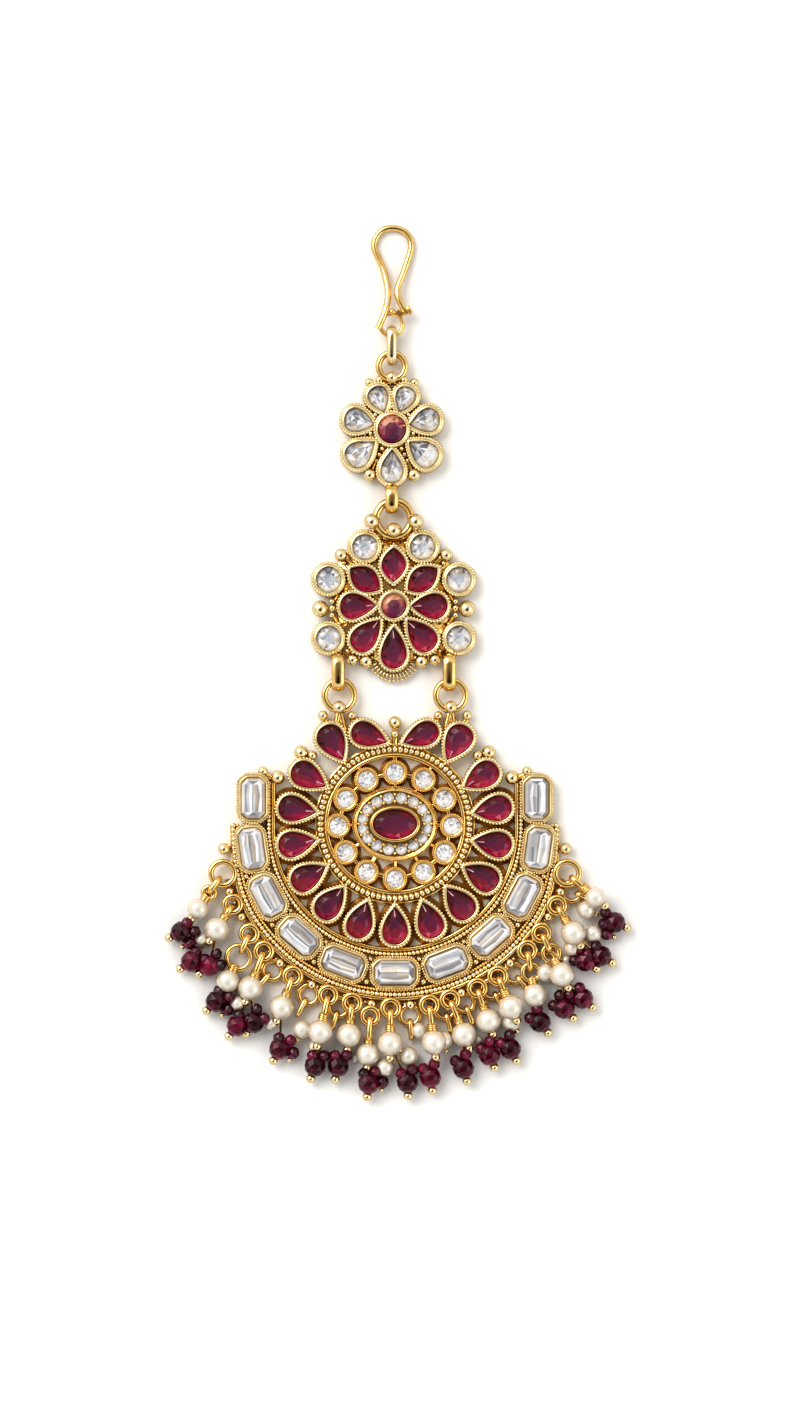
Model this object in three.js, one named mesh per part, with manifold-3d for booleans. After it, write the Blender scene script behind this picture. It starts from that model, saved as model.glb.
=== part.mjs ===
// A jhoomar, a bridal hair ornament: a wire hair hook, two gem-set flowers and a wide openwork pendant,
// joined by jump links, with a fringe of pearls and garnet beads along the pendant's rim.
// Millimetres. It lies face up: +Y runs toward the hook, +Z faces the viewer, z = 0 is what it rests on,
// and the origin is the middle of the pendant's round medallion.
import * as THREE from "three";
import { mergeVertices } from "three/addons/utils/BufferGeometryUtils.js";
import Module from "manifold-3d";

const wasm = await Module();
wasm.setup();

// Heights above the resting surface.
const PLATE_TOP = 0.7; // backing plates and hidden bars
const STRAP_TOP = 1.3; // hidden straps that carry rings and edge balls
const SKIRT_TOP = 1.1; // thin edge outside the outer rail
const RAIL_TOP = 1.9; // beaded rails and the medallion's ring
const SEAT_FLOOR = 0.9; // floor under a stone
const BEZEL_TOP = 2.4;
const STONE_TOP = 3.0; // a stone's table
const OVAL_LIFT = 0.7; // the middle stone stands this much higher
const RING_Z = 1.75; // rings that a link or a drop hangs from

// Settings.
const BEZEL_WALL = 0.64;
const GAP = 0.1; // between a stone and its seat
const SHOWN_CROWN = 0.5; // height of a small stone that is part of its bezel's solid
const BAR = 0.35; // half the width of a hidden bar
const TABLE_SHARE = 0.55; // a stone's table, as a share of its girdle

// The pendant: a medallion, a ring of pear stones, and a rim of long stones between two rails.
const MEDALLION = { ringInner: 10.5, ringOuter: 12.65, ovalX: 6.8, ovalY: 6.0, middleY: -0.3 };
const OVAL_STONE = { length: 7.0, width: 4.8, y: 0 };
const COLLETS = { count: 12, stone: 1.5, top: 2.1, ellipseX: 9.1, ellipseY: 8.5 };
const PEAR = { length: 6.0, width: 4.0, ring: 15.8, step: 20, last: 120, middleY: -0.4 };
const RIM_Y = -0.7; // centre of the rim's arcs
const INNER_RAIL = { inner: 19.0, outer: 20.6, last: 90, top: 6.6 };
const OUTER_RAIL = { inner: 25.3, outer: 27.5, last: 92 };
const SKIRT = { inner: 27.3, outer: 28.5, last: 80 };
const LONG_STONE = { length: 6.2, width: 3.8, corner: 0.75, ring: 23.0, upright: { x: 22.6, y: 4.1 } };
const LONG_STONE_ANGLES = [-82, -62, -41.5, -21, 0, 21, 41.5, 62, 82];

// The two flowers, the hook and the links. The upper pieces lie a little to the left of the pendant's axis.
const SMALL_FLOWER = { x: -0.5, y: 63.0, middleStone: 2.15, plate: 5.2 };
const MIDDLE_FLOWER = { x: -0.2, y: 34.8, middleStone: 2.0, roundStone: 1.92, plate: 8.2 };
const LINK = { width: 1.7, wall: 0.7, bottom: 0.05, top: 3.65, bevel: 0.18 };
const EYE = { halfWidth: 1.5, wall: 0.42, bottom: 1.4, top: 2.0 }; // what a link hangs from
const HOOK_WIRE = 0.45;

// The fringe.
const LOOP = { radius: 1.3, sideRadius: 1.9, wire: 0.28 };
const DROP_LINK = { halfLength: 1.65, halfHeight: 0.95, wire: 0.18, lap: 0.95 };
const THREAD = 0.28;
const UNDER_PEARL = 1.5;
const GARNET = 1.75;
const SMALL_GARNET = 1.05;
const COLLAR = 1.5; // the pair of small garnets above a garnet, as one bead
const END_BALL = 0.62;
const BED_Z = 2.03; // centre of a pearl on the resting surface
const LIFT = 1.15; // a pearl that lies on another one

const degrees = THREE.MathUtils.degToRad;

// ---------------------------------------------------------------- solids

// A closed three.js geometry as a manifold-3d solid.
function solid(geometry) {
  const bare = new THREE.BufferGeometry();
  const open = geometry.index ? geometry.toNonIndexed() : geometry;
  bare.setAttribute("position", open.getAttribute("position"));
  const merged = mergeVertices(bare, 1e-4);
  return new wasm.Manifold(
    new wasm.Mesh({
      numProp: 3,
      vertProperties: merged.attributes.position.array,
      triVerts: new Uint32Array(merged.index.array),
    }),
  );
}

const join = (solids) => solids.reduce((whole, next) => whole.add(next));

const carve = (whole, cuts) => cuts.reduce((rest, cut) => rest.subtract(cut), whole);

function meshOf(name, whole, material) {
  const { vertProperties, triVerts } = whole.getMesh();
  const geometry = new THREE.BufferGeometry();
  geometry.setAttribute("position", new THREE.BufferAttribute(vertProperties, 3));
  geometry.setIndex(new THREE.BufferAttribute(triVerts, 1));
  geometry.computeVertexNormals();
  const mesh = new THREE.Mesh(geometry, material);
  mesh.name = name;
  return mesh;
}

// ---------------------------------------------------------------- outlines, all counter-clockwise

const vec = (x, y) => new THREE.Vector2(x, y);

function around(count, point) {
  return Array.from({ length: count }, (_, i) => point((2 * Math.PI * i) / count));
}

const oval = (halfX, halfY, count) =>
  around(count, (t) => vec(halfX * Math.cos(t), halfY * Math.sin(t)));

// Pointed at +Y and round at -Y, widest two thirds of the way down.
function teardrop(length, width, count = 8) {
  const side = width / 2 / 0.77; // 0.77 is the largest value of sin(t) sin(t / 2)
  return around(count, (t) =>
    vec(-side * Math.sin(t) * Math.sin(t / 2), (length / 2) * Math.cos(t)),
  );
}

// Pointed at both ends.
function marquise(length, width, count = 8) {
  return around(count, (t) =>
    vec((-width / 2) * Math.sin(t) * Math.abs(Math.sin(t)), (length / 2) * Math.cos(t)),
  );
}

function cutCornerBox(length, width, corner) {
  const x = length / 2;
  const y = width / 2;
  return [
    vec(x, y - corner),
    vec(x - corner, y),
    vec(corner - x, y),
    vec(-x, y - corner),
    vec(-x, corner - y),
    vec(corner - x, -y),
    vec(x - corner, -y),
    vec(x, corner - y),
  ];
}

// The outline moved outward by a distance, with long points kept short.
function grow(points, distance) {
  return points.map((point, i) => {
    const a = point.clone().sub(points.at(i - 1)).normalize();
    const b = points[(i + 1) % points.length].clone().sub(point).normalize();
    const normal = vec(a.y + b.y, -a.x - b.x).normalize();
    const stretch = Math.min(1 / normal.dot(vec(a.y, -a.x)), 1.5);
    return point.clone().addScaledVector(normal, distance * stretch);
  });
}

// ---------------------------------------------------------------- simple bodies

function slab(points, bottom, top, hole) {
  const shape = new THREE.Shape(points);
  if (hole) shape.holes.push(new THREE.Path(hole));
  const options = { depth: top - bottom, bevelEnabled: false };
  return new THREE.ExtrudeGeometry(shape, options).translate(0, 0, bottom);
}

// A cut stone: straight up to half its height, then a crown that narrows to the table.
function cutStone(points, bottom, top) {
  const middle = points.reduce((sum, point) => sum.add(point), vec(0, 0)).divideScalar(points.length);
  const options = { depth: top - bottom, steps: 2, bevelEnabled: false };
  const geometry = new THREE.ExtrudeGeometry(new THREE.Shape(points), options).translate(0, 0, bottom);
  const position = geometry.getAttribute("position");
  for (let i = 0; i < position.count; i += 1) {
    if (position.getZ(i) < top - 0.01) continue;
    const table = vec(position.getX(i), position.getY(i)).lerp(middle, 1 - TABLE_SHARE);
    position.setXY(i, table.x, table.y);
  }
  return geometry;
}

// A box by its middle, its half sizes and its two heights.
function box(x, y, halfX, halfY, bottom, top) {
  const geometry = new THREE.BoxGeometry(2 * halfX, 2 * halfY, top - bottom);
  return geometry.translate(x, y, (top + bottom) / 2);
}

const bar = (...sizes) => solid(box(...sizes));

// A ball that sits on the plate or, when it is large, just clears the resting surface.
function ball(x, y, radius, z = Math.max(1.3, radius + 0.1)) {
  return solid(new THREE.IcosahedronGeometry(radius, 0).translate(x, y, z));
}

function rod(from, to, radius) {
  const along = to.clone().sub(from);
  const turn = new THREE.Quaternion().setFromUnitVectors(
    new THREE.Vector3(0, 1, 0),
    along.clone().normalize(),
  );
  const geometry = new THREE.CylinderGeometry(radius, radius, along.length(), 3);
  const middle = from.clone().add(to).multiplyScalar(0.5);
  return solid(geometry.applyQuaternion(turn).translate(middle.x, middle.y, middle.z));
}

const ring = (x, y, radius, wire, steps = 12, sides = 6) =>
  solid(new THREE.TorusGeometry(radius, wire, sides, steps).translate(x, y, RING_Z));

// A point of the rim: degrees from straight down, positive to the right, and the distance from its centre.
function rimPoint(angle, radius) {
  const a = degrees(angle);
  return vec(radius * Math.sin(a), RIM_Y - radius * Math.cos(a));
}

function rail({ inner, outer, last }, top, steps) {
  const arc = (radius) =>
    Array.from({ length: steps + 1 }, (_, i) => rimPoint(-last + (2 * last * i) / steps, radius));
  return solid(slab([...arc(outer), ...arc(inner).reverse()], 0, top));
}

// ---------------------------------------------------------------- settings

// A setting is a stone's outline with the place and turn that it is set at.
const setting = (outline, x, y, turn = 0) => ({ outline, x, y, turn });

const setAt = ({ x, y, turn }, geometry) => solid(geometry.rotateZ(turn).translate(x, y, 0));

const bezelOf = (s, top = BEZEL_TOP) => setAt(s, slab(grow(s.outline, BEZEL_WALL), 0, top));

const seatOf = (s, floor = SEAT_FLOOR) => setAt(s, slab(grow(s.outline, GAP), floor, floor + 9));

const stoneOf = (s, floor = SEAT_FLOOR, top = STONE_TOP) =>
  setAt(s, cutStone(s.outline, floor + GAP, top));

// A bezel whose small stone is shown in the same solid.
function filledBezel(s, top = BEZEL_TOP) {
  const crown = cutStone(s.outline, top - SHOWN_CROWN, top + SHOWN_CROWN);
  return bezelOf(s, top).add(setAt(s, crown));
}

// A pear setting between its point and the middle of its round end.
function pearBetween([tipX, tipY], [roundX, roundY], width) {
  const tip = vec(tipX, tipY);
  const away = vec(roundX, roundY).sub(tip);
  const length = away.length() + width / 2;
  const middle = tip.clone().addScaledVector(away.clone().normalize(), length / 2);
  return setting(teardrop(length, width), middle.x, middle.y, Math.atan2(away.x, -away.y));
}

// A setting turned about a centre with its point inward: degrees from straight down, to the right.
function radialSetting(outline, angle, radius, centreX = 0, centreY = 0) {
  const a = degrees(angle);
  return setting(outline, centreX + radius * Math.sin(a), centreY - radius * Math.cos(a), a);
}

const mirrored = (rows) => [...rows, ...rows.map(([x, ...rest]) => [-x, ...rest])];

// ---------------------------------------------------------------- the pendant

const ovalSetting = setting(
  oval(OVAL_STONE.length / 2, OVAL_STONE.width / 2, 12),
  0,
  OVAL_STONE.y,
);

const collets = Array.from({ length: COLLETS.count }, (_, i) => {
  const a = (2 * Math.PI * i) / COLLETS.count;
  const x = COLLETS.ellipseX * Math.sin(a);
  const y = MEDALLION.middleY - COLLETS.ellipseY * Math.cos(a);
  return setting(oval(COLLETS.stone, COLLETS.stone, 8), x, y);
});

// The ring of pears leaves room at the top for two pairs that lean outward.
const TOP_PEARS = [
  { tip: [8.3, 10.2], round: [10.3, 13.7], width: 4.2 },
  { tip: [1.3, 13.0], round: [5.1, 14.5], width: 3.7 },
];
const pears = [];
for (let angle = -PEAR.last; angle <= PEAR.last; angle += PEAR.step) {
  const outline = teardrop(PEAR.length, PEAR.width);
  pears.push(radialSetting(outline, angle, PEAR.ring, 0, PEAR.middleY));
}
for (const side of [-1, 1]) {
  for (const { tip, round, width } of TOP_PEARS) {
    pears.push(pearBetween([side * tip[0], tip[1]], [side * round[0], round[1]], width));
  }
}

const longOutline = cutCornerBox(LONG_STONE.length, LONG_STONE.width, LONG_STONE.corner);
const longStones = LONG_STONE_ANGLES.map((angle) => {
  const { x, y } = rimPoint(angle, LONG_STONE.ring);
  return setting(longOutline, x, y, degrees(angle));
});
for (const side of [-1, 1]) {
  const { x, y } = LONG_STONE.upright;
  longStones.push(setting(longOutline, side * x, y, Math.PI / 2));
}

// Hanging rings on the pendant's shoulders, and the balls about its edge: x, y, radius.
const SHOULDER_RING = { x: 8.9, y: 20.5, radius: 2.36, wire: 0.52, strapY: 16.85 };
const EDGE_BALLS = [
  ...mirrored([
    [8.9, 18.6, 1.04],
    [11.5, 17.3, 0.8],
    [6.9, 17.3, 0.72],
    [15.0, 11.4, 1.12],
    [13.2, 10.9, 0.8],
    [18.7, 7.4, 1.12],
    [21.1, 8.4, 0.8],
    [27.3, -4.0, 0.96],
  ]),
  [0, 16.2, 1.04],
  [0, 14.3, 0.66],
];
// A granule that holds the one loop that hangs clear of the rail.
const LONG_LOOP_GRANULE = { angle: -7.5, distance: 28.2, radius: 0.9 };

// One row for each strand: the node it belongs to, the loop it hangs from [degrees, distance], its pearl
// [degrees, distance, radius], the garnets below it [degrees, distance], side (+1 or -1 where a small
// garnet hangs beside the first one), and under, a pearl that lies half below its own.
const STRANDS = [
  { node: 1, loop: [-75.3, 28.4], pearl: [-67.8, 33.9, 1.7], garnets: [[-64.1, 37.9]], side: 1 },
  { node: 2, loop: [-64.9, 28.6], pearl: [-60.5, 32.6, 2], garnets: [[-56.8, 38.8], [-53.4, 36.8]] },
  { node: 3, loop: [-54.1, 28.7], pearl: [-47.6, 36.1, 1.85], garnets: [[-45.9, 39.7]], side: 1 },
  { node: 4, loop: [-46.9, 28.7], pearl: [-42.2, 34.4, 2], garnets: [[-38.6, 40.3], [-36, 38.3]] },
  { node: 5, loop: [-34.7, 28.7], pearl: [-32.4, 33.8, 2], garnets: [[-27.6, 39.7]], side: 1 },
  { node: 6, loop: [-21.9, 28.7], pearl: [-20.2, 34.5, 2], garnets: [[-18.6, 40]], under: [-24.8, 35.4] },
  { node: 6, loop: [-13.9, 28.7], pearl: [-12.6, 33.8, 2], garnets: [[-13.4, 39]] },
  { node: 7, loop: [-7.5, 30.2], pearl: [-6.8, 36.3, 1.85], garnets: [[-5.9, 40.9]], side: 1 },
  { node: 8, loop: [-1.4, 28.7], pearl: [-1.3, 34.2, 2], garnets: [[2.8, 40.6]], under: [3.4, 36.4] },
  { node: 9, loop: [11, 28.7], pearl: [10.3, 34.6, 2], garnets: [[8.1, 40.1]], under: [12.9, 34.7] },
  { node: 10, loop: [17.8, 28.7], pearl: [18.5, 34.7, 2], garnets: [[15.9, 39.8]] },
  { node: 11, loop: [27.2, 28.7], pearl: [25.9, 34.1, 2], garnets: [[22.6, 39.2]] },
  { node: 11, loop: [34.8, 28.7], pearl: [33, 33.9, 2], garnets: [[27.6, 39.7]], under: [31, 36] },
  { node: 12, loop: [47.3, 28.7], pearl: [39.9, 34.7, 1.95], garnets: [[36.8, 38.6]] },
  {
    node: 13,
    loop: [54.4, 28.7],
    pearl: [48.8, 35.3, 2],
    garnets: [[43.2, 39.4], [47.8, 40.4]],
    under: [46.2, 33.3],
  },
  {
    node: 14,
    loop: [64.5, 28.6],
    pearl: [59.6, 32.9, 2],
    garnets: [[55.1, 37], [58.2, 38.6]],
    under: [56.2, 34.2],
  },
  {
    node: 15,
    loop: [75.3, 28.4],
    pearl: [71, 33.7, 1.7],
    garnets: [[66.8, 38.1]],
    side: -1,
    under: [66.9, 33.2],
  },
];
const loopRadius = ([angle]) => (Math.abs(angle) > 75 ? LOOP.sideRadius : LOOP.radius);

function pendantFrame() {
  const { ringInner, ringOuter, ovalX, ovalY } = MEDALLION;
  const round = (radius, count) => oval(radius, radius, count);
  const parts = [
    solid(slab(round(ringOuter, 26), 0, RAIL_TOP, round(ringInner, 26))),
    solid(slab(oval(ovalX, ovalY, 18), 0, BEZEL_TOP).translate(0, OVAL_STONE.y, 0)),
    bezelOf(ovalSetting, BEZEL_TOP + OVAL_LIFT),
    ...collets.map((s) => filledBezel(s, COLLETS.top)),
    ...pears.map((s) => bezelOf(s)),
    ...longStones.map((s) => bezelOf(s)),
    rail(INNER_RAIL, RAIL_TOP, 18),
    rail(OUTER_RAIL, RAIL_TOP, 22),
    rail(SKIRT, SKIRT_TOP, 16),
  ];
  // Hidden bars under the medallion's collets.
  for (let i = 0; i < COLLETS.count / 2; i += 1) {
    const spoke = box(0, 0, BAR, ringInner + BAR, 0, PLATE_TOP);
    parts.push(solid(spoke.rotateZ((2 * Math.PI * i) / COLLETS.count)));
  }
  // The inner rail runs straight up beside the upright stones, and a strap holds each shoulder ring.
  for (const side of [-1, 1]) {
    const middle = (INNER_RAIL.inner + INNER_RAIL.outer) / 2;
    const half = (INNER_RAIL.outer - INNER_RAIL.inner) / 2;
    const rise = { x: side * middle, y: (RIM_Y - 0.5 + INNER_RAIL.top) / 2 };
    parts.push(bar(rise.x, rise.y, half, (INNER_RAIL.top - RIM_Y + 0.5) / 2, 0, RAIL_TOP));
    const { x, y, radius, wire } = SHOULDER_RING;
    parts.push(ring(side * x, y, radius, wire));
    parts.push(bar(side * x, SHOULDER_RING.strapY, 2.6, 1.25, 0.2, STRAP_TOP));
  }
  parts.push(bar(0, 14.35, BAR, 2.1, 0.1, 0.9));
  parts.push(...EDGE_BALLS.map(([x, y, radius]) => ball(x, y, radius)));
  const granule = rimPoint(LONG_LOOP_GRANULE.angle, LONG_LOOP_GRANULE.distance);
  parts.push(ball(granule.x, granule.y, LONG_LOOP_GRANULE.radius));
  for (const { loop } of STRANDS) {
    const { x, y } = rimPoint(...loop);
    parts.push(ring(x, y, loopRadius(loop), LOOP.wire, 8, 4));
  }
  const seats = [...pears, ...longStones].map((s) => seatOf(s));
  return carve(join(parts), [...seats, seatOf(ovalSetting, SEAT_FLOOR + OVAL_LIFT)]);
}

// ---------------------------------------------------------------- the flowers

// A small square eye at a flower's lower edge, for the link that hangs there.
function linkEye(x, bottomY, topY) {
  const rectangle = (inset) => {
    const half = EYE.halfWidth - inset;
    return [
      vec(x - half, bottomY + inset),
      vec(x + half, bottomY + inset),
      vec(x + half, topY - inset),
      vec(x - half, topY - inset),
    ];
  };
  return solid(slab(rectangle(0), EYE.bottom, EYE.top, rectangle(EYE.wall)));
}

const TOP_RING = {
  small: { y: 10.0, radius: 2.12, wire: 0.52 },
  middle: { y: 13.9, radius: 2.8, wire: 0.64 },
};

// Seven pear petals: degrees from straight down, distance of the stone's middle, its length and width.
const SMALL_PETALS = [
  [0, 5.95, 5.0, 3.5],
  [53, 6.15, 5.1, 3.9],
  [-53, 6.15, 5.1, 3.9],
  [104, 5.35, 4.7, 3.6],
  [-104, 5.35, 4.7, 3.6],
  [157, 5.1, 4.1, 3.1],
  [-157, 5.1, 4.1, 3.1],
];
// Hidden straps under its ring and its lower balls: x, y, half sizes.
const SMALL_STRAPS = [
  [0, 7.45, 2.2, 1.05],
  [3.2, -6.3, 0.5, 1.1],
  [-3.2, -6.3, 0.5, 1.1],
];
// Balls about the small flower, from its middle: x, y, radius.
const SMALL_BALLS = [
  ...mirrored([
    [3.6, 7.3, 0.72],
    [1.95, 7.75, 0.74],
    [3.55, -7.3, 0.96],
  ]),
  [0, 8.3, 0.9],
];

function smallFlower() {
  const { x, y, middleStone, plate } = SMALL_FLOWER;
  const petals = SMALL_PETALS.map(([angle, distance, length, width]) =>
    radialSetting(teardrop(length, width), angle, distance),
  );
  const middle = setting(oval(middleStone, middleStone, 10), 0, 0);
  const lowest = -SMALL_PETALS[0][1] - SMALL_PETALS[0][2] / 2 - BEZEL_WALL;
  const { small } = TOP_RING;
  const parts = [
    solid(slab(oval(plate, plate, 10), 0, PLATE_TOP)),
    ...petals.map((s) => filledBezel(s)),
    filledBezel(middle, BEZEL_TOP + 0.3),
    ring(0, small.y, small.radius, small.wire),
    ...SMALL_STRAPS.map((strap) => bar(...strap, 0.2, STRAP_TOP)),
    linkEye(0, lowest - 1.6, lowest + 0.7),
    ...SMALL_BALLS.map(([bx, by, radius]) => ball(bx, by, radius)),
  ];
  return join(parts).translate([x, y, 0]);
}

// Ruby petals of the middle flower, from its middle. Pears give their point and the middle of their round
// end, marquises give their middle, their turn in degrees and their length.
const RUBY_PEARS = [
  { tip: [2.8, 0], round: [6.5, -0.1], width: 4.0 },
  { tip: [2.2, -2.3], round: [4.9, -5.4], width: 4.0 },
];
const BOTTOM_PEAR = { tip: [0, -3.4], round: [0, -8.0], width: 4.0 };
const RUBY_MARQUISES = [
  { x: 0, y: 6.5, turn: 0, length: 5.5 },
  { x: 4.6, y: 4.2, turn: -54, length: 5.8 },
  { x: -4.6, y: 4.2, turn: 54, length: 5.8 },
];
const MARQUISE_WIDTH = 3.8;
const ROUND_PLACES = mirrored([
  [4.6, 9.4],
  [10.4, 4.2],
  [10.4, -5.2],
]);
const MIDDLE_BALLS = [
  ...mirrored([
    [3.5, 13.4, 1.12],
    [8.4, 8.1, 0.96],
    [11.6, -0.5, 1.12],
    [6.6, -8.5, 0.8],
    [4.4, -8.8, 0.96],
  ]),
  [0, 12.0, 0.96],
];
// Hidden straps under its ring, its side rounds and its balls: x, y, half sizes.
const MIDDLE_STRAPS = [
  [0, 9.9, 3.4, 1.7],
  ...mirrored([
    [9.6, -0.5, 2.1, 2.9],
    [5.2, -8.1, 1.9, 0.8],
    [6.9, 7.0, 2.0, 1.4],
  ]),
];
const RING_POST = { x: 3.4, y: 12.1 }; // joins the ball beside the ring
const FAN = { inner: 2.2, outer: 4.3, spread: 62, top: 1.5 };
const LOWER_EYE = { x: 8.85, bottomY: -9.3, topY: -6.3 };

const rubyPetals = [
  ...[-1, 1].flatMap((side) =>
    RUBY_PEARS.map(({ tip, round, width }) =>
      pearBetween([side * tip[0], tip[1]], [side * round[0], round[1]], width),
    ),
  ),
  pearBetween(BOTTOM_PEAR.tip, BOTTOM_PEAR.round, BOTTOM_PEAR.width),
  ...RUBY_MARQUISES.map(({ x, y, turn, length }) =>
    setting(marquise(length, MARQUISE_WIDTH), x, y, degrees(turn)),
  ),
];

// A fan of metal under the bottom petal, its ribs left smooth.
function fan() {
  const [x, y] = BOTTOM_PEAR.round;
  const arc = (radius) =>
    Array.from({ length: 9 }, (_, i) => {
      const a = degrees(-FAN.spread + (2 * FAN.spread * i) / 8);
      return vec(x + radius * Math.sin(a), y - radius * Math.cos(a));
    });
  return solid(slab([...arc(FAN.outer), ...arc(FAN.inner).reverse()], 0.1, FAN.top));
}

function middleFlower() {
  const { x, y, middleStone, roundStone, plate } = MIDDLE_FLOWER;
  const rounds = ROUND_PLACES.map(([rx, ry]) => setting(oval(roundStone, roundStone, 8), rx, ry));
  const { middle } = TOP_RING;
  const parts = [
    solid(slab(oval(plate, plate, 12), 0, PLATE_TOP)),
    ...rubyPetals.map((s) => bezelOf(s)),
    ...rounds.map((s) => filledBezel(s)),
    filledBezel(setting(oval(middleStone, middleStone, 10), 0, 0), BEZEL_TOP + 0.2),
    fan(),
    ring(0, middle.y, middle.radius, middle.wire),
    ...MIDDLE_STRAPS.map((strap) => bar(...strap, 0.2, STRAP_TOP)),
    ...MIDDLE_BALLS.map(([bx, by, radius]) => ball(bx, by, radius)),
  ];
  for (const side of [-1, 1]) {
    parts.push(linkEye(side * LOWER_EYE.x, LOWER_EYE.bottomY, LOWER_EYE.topY));
    parts.push(bar(side * RING_POST.x, RING_POST.y, 0.6, 1.3, 0.9, RAIL_TOP));
  }
  return carve(join(parts), rubyPetals.map((s) => seatOf(s))).translate([x, y, 0]);
}

// ---------------------------------------------------------------- hook and links

// The wire's centre line, from the cut end of the left leg, over the top, to the curled right end: x, y, z.
const HOOK_ROUTE = [
  [-2.7, 79.0, 2.3],
  [-1.6, 81.6, 2.1],
  [-1.1, 84.6, 1.5],
  [-1.8, 88.4, 0.9],
  [-3.3, 92.2, 0.6],
  [-2.4, 94.5, 0.55],
  [-0.3, 95.2, 0.5],
  [1.8, 94.4, 0.55],
  [2.6, 92.2, 0.6],
  [1.5, 88.4, 0.9],
  [0.4, 85.3, 1.5],
  [0.7, 83.5, 1.75],
  [1.9, 81.3, 1.75],
].map(([x, y, z]) => new THREE.Vector3(x, y, z));
const HOOK_RING = { x: -0.55, y: 79.6, radius: 1.8, wire: 0.36 };

function hairHook() {
  const profile = new THREE.Shape(oval(HOOK_WIRE, HOOK_WIRE, 6));
  const route = new THREE.CatmullRomCurve3(HOOK_ROUTE, false, "centripetal");
  const wire = new THREE.ExtrudeGeometry(profile, { steps: 32, extrudePath: route, curveSegments: 1 });
  const { x, y, radius, wire: ringWire } = HOOK_RING;
  const cap = new THREE.CylinderGeometry(0.62, 0.62, 1.1, 8).rotateZ(degrees(-60));
  return join([
    solid(wire),
    ring(x, y, radius, ringWire),
    ball(x + 0.1, y + 2.1, 0.62, RING_Z),
    solid(cap.translate(x + 1.25, y + 1.75, RING_Z)),
    solid(new THREE.SphereGeometry(0.6, 8, 6).translate(2.2, 82.0, RING_Z + 0.1)),
  ]);
}

// A link standing on edge: a band bent to a long oval, seen from above as a straight rounded bar.
function standingLink(x, bottomY, topY) {
  const halfHeight = (LINK.top - LINK.bottom) / 2;
  const middle = (topY + bottomY) / 2;
  const reach = (topY - bottomY) / 2 - halfHeight;
  const band = (inset) =>
    around(12, (t) => {
      const end = Math.sign(Math.round(Math.cos(t) * 1e6)) * reach;
      const r = halfHeight - inset;
      return vec(end + r * Math.cos(t), r * Math.sin(t));
    });
  const shape = new THREE.Shape(band(LINK.bevel));
  shape.holes.push(new THREE.Path(band(LINK.wall - LINK.bevel)));
  const options = {
    depth: LINK.width - 2 * LINK.bevel,
    bevelThickness: LINK.bevel,
    bevelSize: LINK.bevel,
    bevelSegments: 1,
  };
  const geometry = new THREE.ExtrudeGeometry(shape, options);
  geometry.translate(0, 0, LINK.bevel - LINK.width / 2);
  // The band's length turns to Y, its height to Z and its width to X.
  const axes = new THREE.Matrix4().makeBasis(
    new THREE.Vector3(0, 1, 0),
    new THREE.Vector3(0, 0, 1),
    new THREE.Vector3(1, 0, 0),
  );
  return solid(geometry.applyMatrix4(axes).translate(x, middle, LINK.bottom + halfHeight));
}

// ---------------------------------------------------------------- the fringe

const at = ({ x, y }, z) => new THREE.Vector3(x, y, z);

const bead = (place, geometry) => solid(geometry.translate(place.x, place.y, place.z));

const pearl = (place, radius) =>
  bead(place, new THREE.SphereGeometry(radius, 8, 5).rotateX(Math.PI / 2));

const garnet = (place) => bead(place, new THREE.DodecahedronGeometry(GARNET, 0));

const smallBead = (place, radius) => bead(place, new THREE.IcosahedronGeometry(radius, 0));

// One garnet with its collar of small ones, its end ball, and the small one beside it if it has one.
function garnetCluster([angle, distance], side) {
  const z = GARNET + 0.1;
  const local = (across, out, height) => {
    const a = degrees(angle);
    const { x, y } = rimPoint(angle, distance + out);
    return new THREE.Vector3(x + across * Math.cos(a), y + across * Math.sin(a), height);
  };
  const middle = local(0, 0, z);
  const parts = [garnet(middle), smallBead(local(0, GARNET + 0.05, 1.5), END_BALL)];
  parts.push(smallBead(local(0, -1.7, z + 0.2), COLLAR));
  if (side) {
    parts.push(smallBead(local(side * 2.2, -0.4, 1.4), SMALL_GARNET));
  }
  return parts;
}

// A strand from its loop: a link on edge, the wire neck, the pearl, then the garnets.
function strand({ loop, pearl: [angle, distance, radius], garnets, side, under }) {
  const from = rimPoint(loop[0], loop[1]);
  const place = at(rimPoint(angle, distance), under ? BED_Z + LIFT : BED_Z);
  const away = vec(place.x, place.y).sub(from).normalize();
  const linkMiddle = from
    .clone()
    .addScaledVector(away, loopRadius(loop) + DROP_LINK.halfLength - DROP_LINK.lap);
  const link = new THREE.TorusGeometry(DROP_LINK.halfHeight, DROP_LINK.wire, 4, 8)
    .scale(DROP_LINK.halfLength / DROP_LINK.halfHeight, 1, 1)
    .rotateX(Math.PI / 2)
    .rotateZ(Math.atan2(away.y, away.x))
    .translate(linkMiddle.x, linkMiddle.y, RING_Z);
  const linkEnd = linkMiddle.clone().addScaledVector(away, DROP_LINK.halfLength);
  const parts = [
    solid(link),
    rod(at(linkEnd, RING_Z), place, THREAD),
    pearl(place, radius),
  ];
  for (const [i, spot] of garnets.entries()) {
    parts.push(rod(place, at(rimPoint(...spot), GARNET + 0.1), THREAD));
    parts.push(...garnetCluster(spot, i === 0 ? side : 0));
  }
  if (under) {
    const low = at(rimPoint(...under), UNDER_PEARL + 0.1);
    parts.push(pearl(low, UNDER_PEARL), rod(place, low, THREAD));
  }
  return parts;
}

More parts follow.
